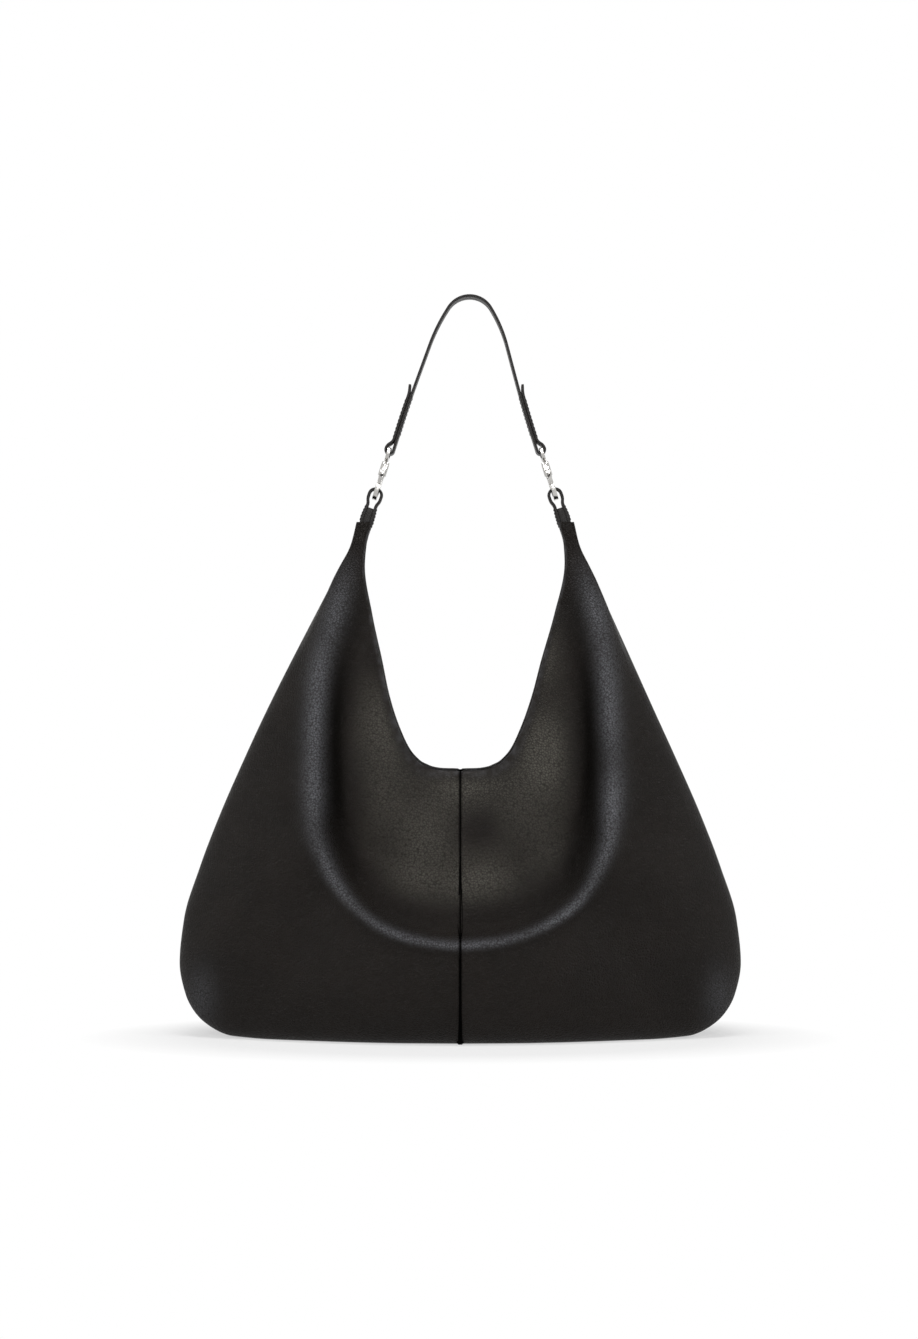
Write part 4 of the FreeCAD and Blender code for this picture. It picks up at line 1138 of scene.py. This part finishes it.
def makeFloor():
    # seen directly it is white, with the shadow let through inside an oval round the bag
    edge = np.linspace(-1.0, 1.0, 25) * studio["floorHalf"]
    x, y = np.meshgrid(edge, edge, indexing="ij")
    floor = gridObject("studioFloor", np.stack([x, y, 0 * x - 0.05], -1))
    material, tree, shader, coords = startMaterial("studioFloor", Roughness=0.9, Specular_IOR_Level=0.1)
    grain = noiseOn(tree, coords.outputs["Object"], Scale=40.0, Detail=3.0)
    shade = rangeOf(tree, grain.outputs["Fac"], 0.0, 1.0, 0.99, 1.0)
    colour = blendColour(tree, shade, studio["floorDark"], studio["floorColour"])
    link(tree, colour, shader.inputs["Base Color"])
    oval = addNode(tree, "ShaderNodeVectorMath", operation="MULTIPLY")
    link(tree, coords.outputs["Object"], oval.inputs[0])
    oval.inputs[1].default_value = studio["shadowSize"]
    reach = addNode(tree, "ShaderNodeVectorMath", operation="LENGTH")
    link(tree, oval.outputs[0], reach.inputs[0])
    least = 1.0 - studio["shadowAmount"]
    away = rangeOf(tree, reach.outputs["Value"], *studio["shadowReach"], least, 1.0)
    rays = directRays(tree)
    white = addNode(tree, "ShaderNodeEmission", Strength=1.0)
    white.inputs["Color"].default_value = (1, 1, 1, 1)
    mix = tree.nodes.new("ShaderNodeMixShader")
    link(tree, times(tree, away, rays), mix.inputs[0])
    link(tree, shader.outputs[0], mix.inputs[1])
    link(tree, white.outputs[0], mix.inputs[2])
    link(tree, mix.outputs[0], tree.nodes["Material Output"].inputs["Surface"])
    floor.data.materials.append(material)


def makeWorld():
    world = bpy.data.worlds.new("studio")
    bpy.context.scene.world = world
    world.use_nodes = True
    tree = world.node_tree
    soft = tree.nodes["Background"]
    soft.inputs["Color"].default_value = (*studio["worldColour"], 1)
    white = addNode(tree, "ShaderNodeBackground")
    white.inputs["Color"].default_value = (1, 1, 1, 1)
    mix = tree.nodes.new("ShaderNodeMixShader")
    link(tree, directRays(tree), mix.inputs[0])
    link(tree, soft.outputs[0], mix.inputs[1])
    link(tree, white.outputs[0], mix.inputs[2])
    link(tree, mix.outputs[0], tree.nodes["World Output"].inputs["Surface"])


def addLamp(name, place, aim, size, watts):
    lamp = bpy.data.lights.new(name, "AREA")
    lamp.shape = "RECTANGLE"
    lamp.size, lamp.size_y = size
    lamp.energy = watts
    obj = bpy.data.objects.new(name, lamp)
    bpy.context.scene.collection.objects.link(obj)
    obj.location = place
    obj.rotation_euler = (Vector(aim) - Vector(place)).to_track_quat("-Z", "Y").to_euler()


def addCamera():
    lens = bpy.data.cameras.new("camera")
    lens.lens = studio["lens"]
    lens.sensor_fit = "VERTICAL"
    lens.sensor_height = studio["filmHeight"]
    camera = bpy.data.objects.new("camera", lens)
    camera.location = studio["cameraPlace"]
    camera.rotation_euler = (math.radians(90.0), 0.0, 0.0)
    bpy.context.scene.collection.objects.link(camera)
    bpy.context.scene.camera = camera


makeFloor()
makeWorld()
for lamp in studio["lamps"]:
    addLamp(*lamp)
addCamera()
bpy.context.scene.view_settings.view_transform = "Standard"
print("studio set")
